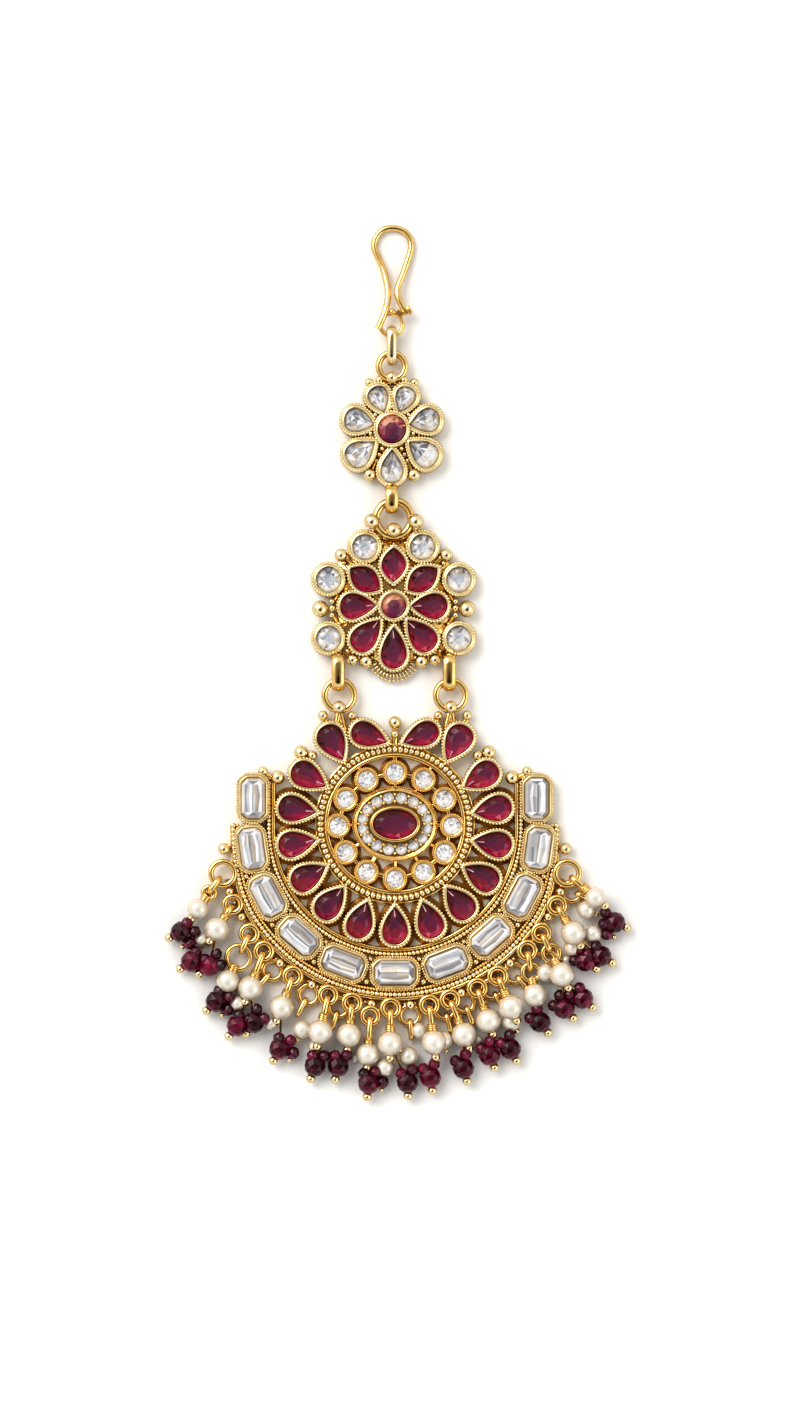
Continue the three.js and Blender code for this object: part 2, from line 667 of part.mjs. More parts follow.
function drop(node) {
  const strands = STRANDS.filter((row) => row.node === node);
  const parts = strands.flatMap(strand);
  // Two strands in one node are tied between their garnets.
  for (let i = 1; i < strands.length; i += 1) {
    const [a, b] = [strands[i - 1], strands[i]].map((row) =>
      at(rimPoint(...row.garnets[0]), GARNET + 0.1),
    );
    parts.push(rod(a, b, THREAD));
  }
  return join(parts);
}

// ---------------------------------------------------------------- materials and assembly

const material = (color, roughness, metalness) =>
  new THREE.MeshStandardMaterial({ color, roughness, metalness });
const gold = () => material(0xd9a441, 0.25, 1);
const ruby = () => material(0x8f1238, 0.08, 0);
const crystal = () => material(0xdfe3ea, 0.05, 0);
const pearlAndGarnet = () => material(0xb08a90, 0.25, 0);

const jhoomar = new THREE.Group();

jhoomar.add(meshOf("hair_hook", hairHook(), gold()));
jhoomar.add(meshOf("hook_link", standingLink(-0.52, 73.35, 79.5), gold()));
jhoomar.add(meshOf("small_flower", smallFlower(), gold()));
jhoomar.add(meshOf("middle_link", standingLink(-0.5, 49.5, 53.72), gold()));
jhoomar.add(meshOf("middle_flower", middleFlower(), gold()));
jhoomar.add(meshOf("left_link", standingLink(-9.05, 21.1, 26.9), gold()));
jhoomar.add(meshOf("right_link", standingLink(8.65, 21.1, 26.9), gold()));
jhoomar.add(meshOf("pendant_frame", pendantFrame(), gold()));

const numbered = (name, i) => `${name}_${String(i + 1).padStart(2, "0")}`;
const { x: petalX, y: petalY } = MIDDLE_FLOWER;
for (const [i, s] of rubyPetals.entries()) {
  const petal = stoneOf({ ...s, x: s.x + petalX, y: s.y + petalY });
  jhoomar.add(meshOf(numbered("petal_stone", i), petal, ruby()));
}
for (const [i, s] of pears.entries()) {
  jhoomar.add(meshOf(numbered("pear_stone", i), stoneOf(s), ruby()));
}
for (const [i, s] of longStones.entries()) {
  jhoomar.add(meshOf(numbered("long_stone", i), stoneOf(s), crystal()));
}
const middleStone = stoneOf(ovalSetting, SEAT_FLOOR + OVAL_LIFT, STONE_TOP + OVAL_LIFT);
jhoomar.add(meshOf("oval_stone", middleStone, ruby()));

const lastDrop = Math.max(...STRANDS.map((row) => row.node));
for (let node = 1; node <= lastDrop; node += 1) {
  jhoomar.add(meshOf(numbered("drop", node - 1), drop(node), pearlAndGarnet()));
}

export default jhoomar;
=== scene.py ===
# The looks of a jhoomar: a gilt wire hook, two gem-set flowers and an openwork pendant, with a fringe of
# pearls and faceted garnets. Sizes are in millimetres until a mesh is made; +Y runs toward the hook, +Z
# faces the viewer, and the origin is the middle of the pendant's medallion, on the surface it lies on.
import math
import random

import bmesh
import bpy
import numpy as np
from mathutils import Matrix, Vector


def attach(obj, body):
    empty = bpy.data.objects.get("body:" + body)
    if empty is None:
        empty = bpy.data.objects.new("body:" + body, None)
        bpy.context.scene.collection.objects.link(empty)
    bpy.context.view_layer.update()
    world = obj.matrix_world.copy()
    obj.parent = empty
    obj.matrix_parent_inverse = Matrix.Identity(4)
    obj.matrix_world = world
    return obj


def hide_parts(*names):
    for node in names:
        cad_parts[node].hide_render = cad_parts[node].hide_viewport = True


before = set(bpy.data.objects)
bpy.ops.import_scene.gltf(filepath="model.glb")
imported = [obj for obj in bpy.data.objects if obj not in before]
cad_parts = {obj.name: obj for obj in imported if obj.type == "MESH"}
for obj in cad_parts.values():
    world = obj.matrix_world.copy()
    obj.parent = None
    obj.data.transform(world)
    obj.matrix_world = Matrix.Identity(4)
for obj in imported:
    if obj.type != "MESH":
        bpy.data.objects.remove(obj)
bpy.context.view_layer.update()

MM = 0.001
SEED = 20

# ---------------------------------------------------------------- sizes of the ornament

# Heights above the resting surface.
RING_Z = 1.75
GIRDLE_Z = 2.1
TABLE_Z = 2.95
OVAL_LIFT = 0.7

MEDALLION = {"band": 10.95, "beads": 11.95, "edge": 12.6, "middle_y": -0.3}
MEDALLION_WIRES = [("band", 1.3, 0.4, 12), ("edge", 1.15, 0.22, 8)]  # where, height, radius, sides
INNER_WIRE = {"out": 0.22, "z": 1.72, "wire": (0.17, 8)}  # on the inner side of the oval's frame
PRONG = {"inset": 0.55, "z": 1.6, "radius": 0.3}  # two between every two stones of the pavement
MEDALLION_STRUT = {"wire": (0.36, 8), "z": 1.1, "inner_z": 0.38, "inner_end": 5.6}
OVAL_STONE = {"length": 6.9, "width": 4.6}
OVAL_FRAME = {"outer": (6.8, 6.0), "inner": (6.0, 5.15)}
PAVE = {"count": 16, "ellipse": (5.25, 4.15), "radius": 0.9}
COLLETS = {"count": 12, "stone": 1.4, "ellipse": (9.1, 8.5)}
PEAR = {"length": 6.0, "width": 4.0, "ring": 15.8, "step": 20, "last": 120, "middle_y": -0.4}
TOP_PEARS = [
    {"tip": (8.3, 10.2), "round": (10.3, 13.7), "width": 4.2},
    {"tip": (1.3, 13.0), "round": (5.1, 14.5), "width": 3.7},
]
RIM_Y = -0.7
# Bands: half the width, and the heights of the lower and upper side. The beads and rope on them: distance
# to the outer side, radius and pitch. A wire has only the first two.
INNER_RAIL = {
    "radius": 19.8, "half": 0.75, "z": (0, 1.35), "top": 6.5, "beads": (0.34, 0.4, 0.66),
    "wire": (-0.4, 0.34),
}
OUTER_RAIL = {
    "radius": 26.55, "half": 0.95, "z": (0, 1.3), "last": 91, "beads": (0.0, 0.44, 0.72),
    "rope": (-0.66, 0.3, 0.48), "wire": (0.66, 0.36),
}
DRAWN_IN = {"from": 58, "over": 30}  # degrees; past these the outer rail bends toward the inner one
SKIRT = {"radius": 27.9, "half": 0.5, "z": (0.1, 1.0), "last": 73}
STONE_BED = {"half": 2.6, "z": (0.05, 0.8), "last": 90}
BEAD_BED = {"radius": 11.6, "half": 1.0, "z": (0, 1.5)}
SHADOW_FLANGE = {"low": 0.07, "higher": 0.04, "pears": 1.3, "collets": 1.05}
LONG_STONE = {"length": 6.7, "width": 3.95, "corner": 0.9, "ring": 23.05, "upright": (22.6, 4.1)}
LONG_STONE_ANGLES = [-82, -62, -41.5, -21, 0, 21, 41.5, 62, 82]
SHOULDER_RING = {"x": 8.9, "y": 20.5, "radius": 2.36, "wire": 0.52}
EDGE_BALLS = [
    (8.9, 18.6, 1.04), (11.5, 17.3, 0.8), (6.9, 17.3, 0.72), (15.0, 11.4, 1.12),
    (13.2, 10.9, 0.8), (18.7, 7.4, 1.12), (21.1, 8.4, 0.8), (27.3, -4.0, 0.96),
]
CREST_BALLS = [(0, 16.2, 1.04), (0, 14.3, 0.66)]
RING_BALL_Z = 2.5  # a ball that covers the joint of a ring
PENDANT_STRUT, FLOWER_STRUT = (0.5, 10), (0.36, 8)  # radius, sides
PENDANT_STRUTS = [  # hidden wires under the rings and balls, on the right: from, to, height
    ((8.9, 18.4), (9.6, 14.6), 0.8), ((8.9, 18.4), (8.0, 14.6), 0.8), ((6.9, 17.3), (6.2, 15.2), 0.9),
    ((11.5, 17.3), (10.9, 14.6), 0.9), ((13.0, 10.6), (15.0, 11.2), 0.9), ((18.9, 7.0), (21.3, 8.0), 0.9),
    ((26.4, -3.6), (27.3, -4.0), 0.9),
]
CREST_STRUT = ((0, 12.4), (0, 16.2), 0.8)
RIM_GRANULE = {"distance": 28.35, "z": 1.15, "radius": 0.78}
FINE_GRANULE = {"distance": 28.2, "z": 1.0, "radius": 0.3, "last": 71.5, "step": 3.25}
STONE_GRANULES = [(21.3, 0.42), (24.9, 0.5)]  # between the long stones: distance, radius
RIM_GRANULES = [-69, -60, -40.5, -28, -7.6, 5, 22, 40.5, 60, 69]
LOW_RINGS = [-40.8, -27.5, -17.5, 4.5, 15.4, 21.7, 31.1, 39.4, 51.6, 70.2]
LOW_RING = {"distance": 30.0, "radius": 1.55, "z": 0.85, "wire": 0.42}
LOW_LINK = {"from_to": (30.9, 33.6), "z": 1.12, "half_height": 0.6, "wire": 0.46}

SMALL_FLOWER = {"x": -0.5, "y": 63.0, "middle_stone": 2.15}
SMALL_PETALS = [  # degrees from straight down, distance of the middle, length, width
    (0, 5.95, 5.0, 3.5), (53, 6.15, 5.1, 3.9), (-53, 6.15, 5.1, 3.9), (104, 5.35, 4.7, 3.6),
    (-104, 5.35, 4.7, 3.6), (157, 5.1, 4.1, 3.1), (-157, 5.1, 4.1, 3.1),
]
SMALL_RING = {"y": 10.0, "radius": 2.12, "wire": 0.52}
SMALL_PLATE = {"radius": 5.2, "section": [(-0.3, 0.0), (0, 0.15), (0, 0.55), (-0.2, 0.7)]}
SMALL_CROSSBAR = ((-2.4, 7.4), (2.4, 7.4), 0.9)
SMALL_STRUTS = [((3.4, -7.2), (2.6, -5.2), 0.9), ((0.4, -8.0), (0.4, -9.9), 0.75)]
SMALL_GAPS = [26.5, 78.5, 130.5, 180, -26.5, -78.5, -130.5]  # between petals, degrees from straight down
GAP_BALLS = [(3.5, 0.36, 1.9), (4.5, 0.42, 1.4), (5.6, 0.46, 1.0)]  # distance, radius, height
SMALL_TOP_BALL = (8.15, 0.96)
SMALL_BALLS = [(3.6, 7.4, 0.7), (1.95, 7.8, 0.66), (3.55, -7.3, 1.06)]

MIDDLE_FLOWER = {"x": -0.2, "y": 34.8, "middle_stone": 2.0, "round_stone": 1.92}
RUBY_PEARS = [
    {"tip": (2.8, 0), "round": (6.5, -0.1), "width": 4.0},
    {"tip": (2.2, -2.3), "round": (4.9, -5.4), "width": 4.0},
]
BOTTOM_PEAR = {"tip": (0, -3.4), "round": (0, -8.0), "width": 4.0}
RUBY_MARQUISES = [(0, 6.5, 0, 5.5), (4.6, 4.2, -54, 5.8), (-4.6, 4.2, 54, 5.8)]  # x, y, turn, length
MARQUISE_WIDTH = 3.8
ROUND_PLACES = [(4.6, 9.4), (10.4, 4.2), (10.4, -5.2)]
WEB = [  # the right half of the backing plate's edge, from the bottom up
    (2.6, -9.0), (7.8, -8.2), (9.8, -6.6), (9.3, -3.6), (8.9, -1.6), (8.9, 0.6), (9.2, 2.6), (9.6, 5.6),
    (8.2, 7.8), (6.0, 10.2), (3.4, 11.5),
]
TRAIL_GRANULE = (1.25, 0.4)  # height, radius
TRAILS = [  # rows of small granules on the plate: from, to, how many
    ((1.5, 10.9), (2.7, 8.2), 4), ((6.9, 8.6), (8.5, 5.9), 4), ((8.7, 2.3), (7.6, 1.9), 2),
    ((8.8, -2.9), (7.7, -2.6), 2), ((7.4, -7.2), (4.6, -8.2), 4), ((2.9, -6.9), (3.5, -8.3), 2),
    ((3.0, 3.2), (2.1, 2.6), 2), ((1.7, -3.2), (2.5, -4.3), 2), ((3.3, -1.35), (4.4, -1.7), 2),
    ((0.6, 11.0), (2.4, 11.3), 3),
]
MIDDLE_STRUTS = [
    ((6.6, 6.8), (8.4, 8.1), 0.9), ((8.6, -0.5), (11.4, -0.5), 0.9), ((8.8, 2.0), (9.85, 0.3), 0.8),
    ((8.8, -3.0), (9.85, -1.3), 0.8), ((2.4, 11.2), (3.4, 13.2), 1.1), ((8.5, -6.8), (8.5, -8.7), 0.75),
    ((9.2, -6.8), (9.2, -8.7), 0.75),
]
SIDE_KNOB_X = 9.85
SIDE_KNOBS = [(0.7, 0.5), (-0.4, 0.6), (-1.5, 0.5)]  # in a column: height above the middle, radius
FAN = {"last": 66, "ribs": (3.3, 1.2), "ends": (4.0, 1.0)}  # degrees; distance, height
MIDDLE_RING = {"y": 13.9, "radius": 2.8, "wire": 0.64}
MIDDLE_TOP_BALL = (0, 12.0, 1.22)
MIDDLE_BALLS = [
    (3.5, 13.4, 1.22), (8.4, 8.1, 1.02), (11.7, -0.5, 1.32), (6.6, -8.6, 0.92), (4.4, -8.9, 1.1),
]

HOOK_WIRE = 0.52
HOOK_ROUTE = [
    (-2.7, 79.0, 2.3), (-1.6, 81.6, 2.1), (-1.1, 84.6, 1.5), (-1.8, 88.4, 0.9), (-3.3, 92.2, 0.64),
    (-2.4, 94.5, 0.58), (-0.3, 95.2, 0.55), (1.8, 94.4, 0.58), (2.6, 92.2, 0.64), (1.5, 88.4, 0.9),
    (0.4, 85.3, 1.5), (0.7, 83.5, 1.75), (1.9, 81.3, 1.75),
]
HOOK_RING = {"x": -0.55, "y": 79.6, "radius": 1.8, "wire": 0.36}
HOOK_BALL = (-0.45, 81.7, RING_Z, 0.55)
HOOK_SOLDER = [  # small blocks over the hook's joints: length, width, x, y, turn, section
    (1.25, 1.05, 0.75, 81.4, -28, [(-0.12, 1.2), (0, 1.35), (0, 2.15), (-0.12, 2.3)]),
    (1.5, 0.75, 2.25, 81.9, -58, [(-0.1, 1.75), (0, 1.9), (0, 2.35), (-0.15, 2.5)]),
]
LINKS = {  # x, lower end, upper end, half the width
    "hook_link": (-0.52, 73.1, 79.5, 0.78),
    "middle_link": (-0.5, 49.4, 54.1, 1.02),
    "left_link": (-9.05, 21.1, 27.3, 1.02),
    "right_link": (8.65, 21.1, 27.3, 1.02),
}
LINK = {"half_wall": 0.46, "bottom": 0.08, "top": 3.65}

# One row for each strand of the fringe: node, loop and pearl as degrees from straight down and distance,
# the pearl's radius, garnets, side of a small garnet, and a pearl that lies half below.
STRANDS = [
    {"node": 1, "loop": (-75.3, 28.4), "pearl": (-67.8, 33.9, 1.7), "garnets": [(-64.1, 37.9)], "side": 1},
    {"node": 2, "loop": (-64.9, 28.6), "pearl": (-60.5, 32.6, 2), "garnets": [(-56.8, 38.8), (-53.4, 36.8)]},
    {"node": 3, "loop": (-54.1, 28.7), "pearl": (-47.6, 36.1, 1.85), "garnets": [(-45.9, 39.7)], "side": 1},
    {"node": 4, "loop": (-46.9, 28.7), "pearl": (-42.2, 34.4, 2), "garnets": [(-38.6, 40.3), (-36, 38.3)]},
    {"node": 5, "loop": (-34.7, 28.7), "pearl": (-32.4, 33.8, 2), "garnets": [(-27.6, 39.7)], "side": 1},
    {"node": 6, "loop": (-21.9, 28.7), "pearl": (-20.2, 34.5, 2), "garnets": [(-18.6, 40)],
     "under": (-24.8, 35.4)},
    {"node": 6, "loop": (-13.9, 28.7), "pearl": (-12.6, 33.8, 2), "garnets": [(-13.4, 39)]},
    {"node": 7, "loop": (-7.5, 30.2), "pearl": (-6.8, 36.3, 1.85), "garnets": [(-5.9, 40.9)], "side": 1},
    {"node": 8, "loop": (-1.4, 28.7), "pearl": (-1.3, 34.2, 2), "garnets": [(2.8, 40.6)],
     "under": (3.4, 36.4)},
    {"node": 9, "loop": (11, 28.7), "pearl": (10.3, 34.6, 2), "garnets": [(8.1, 40.1)],
     "under": (12.9, 34.7)},
    {"node": 10, "loop": (17.8, 28.7), "pearl": (18.5, 34.7, 2), "garnets": [(15.9, 39.8)]},
    {"node": 11, "loop": (27.2, 28.7), "pearl": (25.9, 34.1, 2), "garnets": [(22.6, 39.2)]},
    {"node": 11, "loop": (34.8, 28.7), "pearl": (33, 33.9, 2), "garnets": [(27.6, 39.7)],
     "under": (31, 36)},
    {"node": 12, "loop": (47.3, 28.7), "pearl": (39.9, 34.7, 1.95), "garnets": [(36.8, 38.6)]},
    {"node": 13, "loop": (54.4, 28.7), "pearl": (48.8, 35.3, 2), "garnets": [(43.2, 39.4), (47.8, 40.4)],
     "under": (46.2, 33.3)},
    {"node": 14, "loop": (64.5, 28.6), "pearl": (59.6, 32.9, 2), "garnets": [(55.1, 37), (58.2, 38.6)],
     "under": (56.2, 34.2)},
    {"node": 15, "loop": (75.3, 28.4), "pearl": (71, 33.7, 1.7), "garnets": [(66.8, 38.1)], "side": -1,
     "under": (66.9, 33.2)},
]
BACK_PEARL_RADII = (1.45, 0.6, -0.05)  # the largest, the end and the step
BACK_PEARL_GAP = 0.03
BACK_PEARLS = [  # degrees from straight down, distance
    (-60.2, 35.6), (-32.3, 36.9), (-20, 37.2), (-9.9, 37.4), (-2.4, 38.2), (6.9, 32.6), (52.3, 34.6),
    (61.9, 35.8), (-42, 37.6), (21.5, 36.4),
]
LOOP = {"radius": 1.3, "side_radius": 1.9, "wire": 0.46}
GARNET = 1.75
END_BALL = 0.74
BED_Z = 2.03  # the middle of a pearl that lies on the surface
LIFT = 1.15  # how much higher it lies with another pearl under it
UNDER_PEARL = 1.5
PEARL_DETAIL = (36, 24)  # segments, rings

# ---------------------------------------------------------------- colour

def linear(code):
    """A display colour such as d9a441 as scene-linear red, green and blue."""
    values = [int(code[i:i + 2], 16) / 255 for i in (0, 2, 4)]
    return tuple(v / 12.92 if v <= 0.04045 else ((v + 0.055) / 1.055) ** 2.4 for v in values)


def ramp(stops, position):
    """The colour at a position between 0 and 1 along a list of (position, code)."""
    places = [place for place, _ in stops]
    colours = np.array([linear(code) for _, code in stops])
    return tuple(float(np.interp(position, places, colours[:, i])) for i in range(3))


RUBY_TONES = [
    (0.0, "340718"), (0.25, "620c2e"), (0.5, "950e47"), (0.72, "bf195b"), (0.88, "da416e"), (1.0, "ee8790"),
]
# A painted glow of warm light on the rubies, strongest on their lower left facets.
PAINTED_GLOW = linear("b8341f")
GLOW_SIDE = np.array([-0.6, -0.8])
GLOW_FROM = 0.35  # how far toward the side of the painted glow a facet has to turn
GLOW_ELSEWHERE = 0.08
GILT_REFLECTION_CHANCE = 0.16  # of a clear facet that takes a painted reflection of the gilt
STAR_SIZE, WAIST_HEIGHT = 0.45, 0.55  # shares of the table, and of the way up to it from the girdle
TABLE_FACETS = ("outer table", "inner table", "heart")
FACET_PLAY = {  # base, how much it turns with the side it faces, spread
    "left half": (0.42, 0.34, 0.12), "right half": (0.5, 0.3, 0.12),
    "left break": (0.5, 0.4, 0.4), "right break": (0.34, 0.4, 0.4), "star": (0.3, 0.34, 0.3),
    "outer table": (0.5, 0.3, 0.35), "inner table": (0.3, 0.3, 0.35), "heart": (0.42, 0.3, 0.35),
}
# Painted reflections that lie over the tables: colour and share.
RUBY_TABLE_REFLECTION = (linear("6b3a53"), 0.86)
# A painted highlight for the facets at a pear's tip.
GLINT = linear("d3aec0")
CLEAR_TABLE_REFLECTION = (linear("b4bac6"), 0.6)
COPPER_TONES = [
    (0.0, "5a0c40"), (0.3, "861252"), (0.55, "9c4a58"), (0.8, "c07e62"), (1.0, "dba486"),
]
CLEAR_TONES = [
    (0.0, "74757a"), (0.25, "9d9ea4"), (0.45, "cccdd1"), (0.65, "efeff1"), (1.0, "ffffff"),
]
# A painted reflection of the gilt, laid over clear facets.
GILT_REFLECTION = linear("d9bd8c")
GARNET_TONES = [
    (0.0, "1c050e"), (0.35, "4c0820"), (0.6, "7f0e3c"), (0.85, "ad1751"), (1.0, "d43a68"),
]

# ---------------------------------------------------------------- outlines, all counter-clockwise

def around(count, point):
    return np.array([point(2 * math.pi * i / count) for i in range(count)])


def oval(half_x, half_y, count=40):
    return around(count, lambda t: (half_x * math.cos(t), half_y * math.sin(t)))


def teardrop(length, width, count=48):
    """Pointed at +Y, round at -Y."""
    side = width / 2 / 0.77
    return around(count, lambda t: (-side * math.sin(t) * math.sin(t / 2), length / 2 * math.cos(t)))


def marquise(length, width, count=48):
    """Pointed at both ends."""
    return around(
        count, lambda t: (-width / 2 * math.sin(t) * abs(math.sin(t)), length / 2 * math.cos(t))
    )


def cut_corner_box(length, width, corner):
    x, y = length / 2, width / 2
    return np.array([
        (x, y - corner), (x - corner, y), (corner - x, y), (-x, y - corner),
        (-x, corner - y), (corner - x, -y), (x - corner, -y), (x, corner - y),
    ])


def softened(points, radius=0.35, steps=3):
    """An outline whose corners are cut back and rounded."""
    rounded = []
    for before, corner, after in zip(np.roll(points, 1, 0), points, np.roll(points, -1, 0)):
        start = corner + (before - corner) / np.linalg.norm(before - corner) * radius
        end = corner + (after - corner) / np.linalg.norm(after - corner) * radius
        for i in range(steps):
            t = i / (steps - 1)
            rounded.append((1 - t) ** 2 * start + 2 * t * (1 - t) * corner + t ** 2 * end)
    return np.array(rounded)


def place(points, x, y, turn=0.0):
    c, s = math.cos(turn), math.sin(turn)
    return points @ np.array([(c, s), (-s, c)]) + (x, y)


def offset(points, distance):
    """The outline moved outward, with long points kept short."""
    before = points - np.roll(points, 1, 0)
    after = np.roll(points, -1, 0) - points
    before /= np.linalg.norm(before, axis=1)[:, None]
    after /= np.linalg.norm(after, axis=1)[:, None]
    normal = np.stack([before[:, 1] + after[:, 1], -before[:, 0] - after[:, 0]], 1)
    normal /= np.linalg.norm(normal, axis=1)[:, None]
    bend = normal[:, 0] * before[:, 1] - normal[:, 1] * before[:, 0]
    stretch = np.minimum(1 / np.maximum(bend, 0.2), 1.5)
    return points + normal * (distance * stretch)[:, None]


def at_height(points, z):
    return np.column_stack([points, np.full(len(points), z)])


def rim_point(angle, radius):
    a = math.radians(angle)
    return np.array([radius * math.sin(a), RIM_Y - radius * math.cos(a)])


def mirrored(rows):
    return [*rows, *[(-x, *rest) for x, *rest in rows]]


# ---------------------------------------------------------------- meshes from points

class Work:
    """The points and faces of one piece, in millimetres, with a tint for each face of a stone."""

    def __init__(self):
        self.points = []
        self.faces = []
        self.tints = []

    def add(self, points, faces, tints=()):
        start = len(self.points)
        self.points.extend(tuple(float(v) for v in point) for point in points)
        self.faces.extend([start + i for i in face] for face in faces)
        self.tints.extend(tints)

    def stack(self, rings, closed=False):
        """Rings of points joined in order: capped at both ends, or joined round to the first ring."""
        n = len(rings[0])
        points = np.concatenate(rings)
        faces = []
        pairs = list(zip(range(len(rings)), range(1, len(rings))))
        if closed:
            pairs.append((len(rings) - 1, 0))
        for low, high in pairs:
            for i in range(n):
                j = (i + 1) % n
                faces.append((low * n + i, low * n + j, high * n + j, high * n + i))
        if not closed:
            ends = [rings[0].mean(0), rings[-1].mean(0)]
            points = np.concatenate([points, ends])
            first, last, top = len(points) - 2, len(points) - 1, (len(rings) - 1) * n
            faces += [(first, (i + 1) % n, i) for i in range(n)]
            faces += [(last, top + i, top + (i + 1) % n) for i in range(n)]
        self.add(points, faces)

    def mesh(self, name="work"):
        mesh = bpy.data.meshes.new(name)
        mesh.from_pydata([tuple(v * MM for v in point) for point in self.points], [], self.faces)
        if self.tints:
            layer = mesh.color_attributes.new("facet", "FLOAT_COLOR", "CORNER")
            colours = [
                (*tint, 1.0) for face, tint in zip(self.faces, self.tints) for _ in face
            ]
            layer.data.foreach_set("color", np.array(colours, np.float32).ravel())
        mesh.update()
        return mesh


def joined(name, meshes):
    """Several meshes as one, doubles merged and faces turned outward."""
    form = bmesh.new()
    for mesh in meshes:
        form.from_mesh(mesh)
        bpy.data.meshes.remove(mesh)
    bmesh.ops.remove_doubles(form, verts=form.verts, dist=1e-7)
    bmesh.ops.recalc_face_normals(form, faces=form.faces)
    whole = bpy.data.meshes.new(name)
    form.to_mesh(whole)
    form.free()
    return whole


def linked(name, data):
    made = bpy.data.objects.new(name, data)
    bpy.context.scene.collection.objects.link(made)
    return made


def piece(name, mesh, material, nodes=(), crease=None):
    """A finished piece of the ornament. A crease angle gives smooth metal, none gives flat facets."""
    mesh.name = name
    mesh.materials.clear()
    mesh.materials.append(material)
    mesh.polygons.foreach_set("material_index", [0] * len(mesh.polygons))
    mesh.polygons.foreach_set("use_smooth", [crease is not None] * len(mesh.polygons))
    if crease is not None:
        mesh.set_sharp_from_angle(angle=math.radians(crease))
    made = linked(name, mesh)
    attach(made, "root")
    if nodes:
        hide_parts(*nodes)
    return made


def metal_piece(name, meshes, material, nodes=(), crease=45):
    return piece(name, joined(name, meshes), material, nodes, crease)


# ---------------------------------------------------------------- node trees

def node(tree, kind, inputs=None, **settings):
    """A node with its settings. Each named input gets a fixed value, or a link when it is given a socket."""
    made = tree.nodes.new(kind)
    for name, value in settings.items():
        setattr(made, name, value)
    feed(tree, made, inputs or {})
    return made


def feed(tree, made, inputs):
    for name, value in inputs.items():
        if isinstance(value, bpy.types.NodeSocket):
            tree.links.new(value, made.inputs[name])
        else:
            made.inputs[name].default_value = value


def sockets(tree, in_out, rows):
    """The tree's own inputs or outputs: name, kind and default value, if it has one."""
    for label, kind, *value in rows:
        socket = tree.interface.new_socket(label, in_out=in_out, socket_type=f"NodeSocket{kind}")
        if value:
            socket.default_value = value[0]


# ---------------------------------------------------------------- geometry nodes: grains and wires

def path_tree(name, inputs):
    """A tree that works along a path: the tree, its inputs and the path as a curve."""
    tree = bpy.data.node_groups.new(name, "GeometryNodeTree")
    sockets(tree, "INPUT", [("Path", "Geometry"), *inputs, ("Material", "Material")])
    sockets(tree, "OUTPUT", [("Metal", "Geometry")])
    given = node(tree, "NodeGroupInput").outputs
    curve = node(tree, "GeometryNodeMeshToCurve", {"Mesh": given["Path"]})
    return tree, given, curve.outputs["Curve"]


def finish_tree(tree, given, made):
    """Makes the instances real and sets the material."""
    real = node(tree, "GeometryNodeRealizeInstances", {"Geometry": made})
    paint = node(tree, "GeometryNodeSetMaterial", {
        "Geometry": real.outputs["Geometry"], "Material": given["Material"],
    })
    node(tree, "NodeGroupOutput", {"Metal": paint.outputs["Geometry"]})
    return tree


def grain_tree():
    """A row of grains along a path, each one long, wide and high as its inputs say."""
    tree, given, curve = path_tree("grain_row", [
        ("Pitch", "Float", 0.0004), ("Length", "Float", 0.0003), ("Width", "Float", 0.0003),
        ("Height", "Float", 0.0003), ("Segments", "Int", 8), ("Rings", "Int", 5),
    ])
    even = node(
        tree, "GeometryNodeResampleCurve", {"Curve": curve, "Length": given["Pitch"]}, mode="LENGTH",
    )
    grain = node(tree, "GeometryNodeMeshUVSphere", {
        "Radius": 0.5, "Segments": given["Segments"], "Rings": given["Rings"],
    })
    tangent = node(tree, "GeometryNodeInputTangent")
    turn = node(tree, "FunctionNodeAlignRotationToVector", {"Vector": tangent.outputs[0]}, axis="X")
    size = node(tree, "ShaderNodeCombineXYZ", {
        "X": given["Length"], "Y": given["Width"], "Z": given["Height"],
    })
    spread = node(tree, "GeometryNodeInstanceOnPoints", {
        "Points": even.outputs["Curve"], "Instance": grain.outputs["Mesh"],
        "Rotation": turn.outputs["Rotation"], "Scale": size.outputs["Vector"],
    })
    return finish_tree(tree, given, spread.outputs["Instances"])


def wire_tree():
    """A round wire along a path, with closed ends."""
    tree, given, curve = path_tree("drawn_wire", [("Radius", "Float", 0.0003), ("Sides", "Int", 10)])
    section = node(tree, "GeometryNodeCurvePrimitiveCircle", {
        "Radius": given["Radius"], "Resolution": given["Sides"],
    })
    drawn = node(tree, "GeometryNodeCurveToMesh", {
        "Curve": curve, "Profile Curve": section.outputs["Curve"], "Fill Caps": True,
    })
    return finish_tree(tree, given, drawn.outputs["Mesh"])


def grown(tree, paths, **inputs):
    """The plain mesh that a tree makes on paths, each (points in millimetres, closed)."""
    points, edges = [], []
    for path, closed in paths:
        start, count = len(points), len(path)
        points.extend(tuple(float(v) * MM for v in point) for point in path)
        edges += [(start + i, start + i + 1) for i in range(count - 1)]
        if closed:
            edges.append((start + count - 1, start))
    mesh = bpy.data.meshes.new("path")
    mesh.from_pydata(points, edges, [])
    carrier = linked("path", mesh)
    modifier = carrier.modifiers.new("work", "NODES")
    modifier.node_group = tree
    names = {name.capitalize(): value for name, value in inputs.items()}
    for socket in tree.interface.items_tree:
        if socket.in_out == "INPUT" and socket.name in names:
            modifier[socket.identifier] = names[socket.name]
    graph = bpy.context.evaluated_depsgraph_get()
    plain = bpy.data.meshes.new_from_object(carrier.evaluated_get(graph))
    bpy.data.objects.remove(carrier)
    bpy.data.meshes.remove(mesh)
    return plain


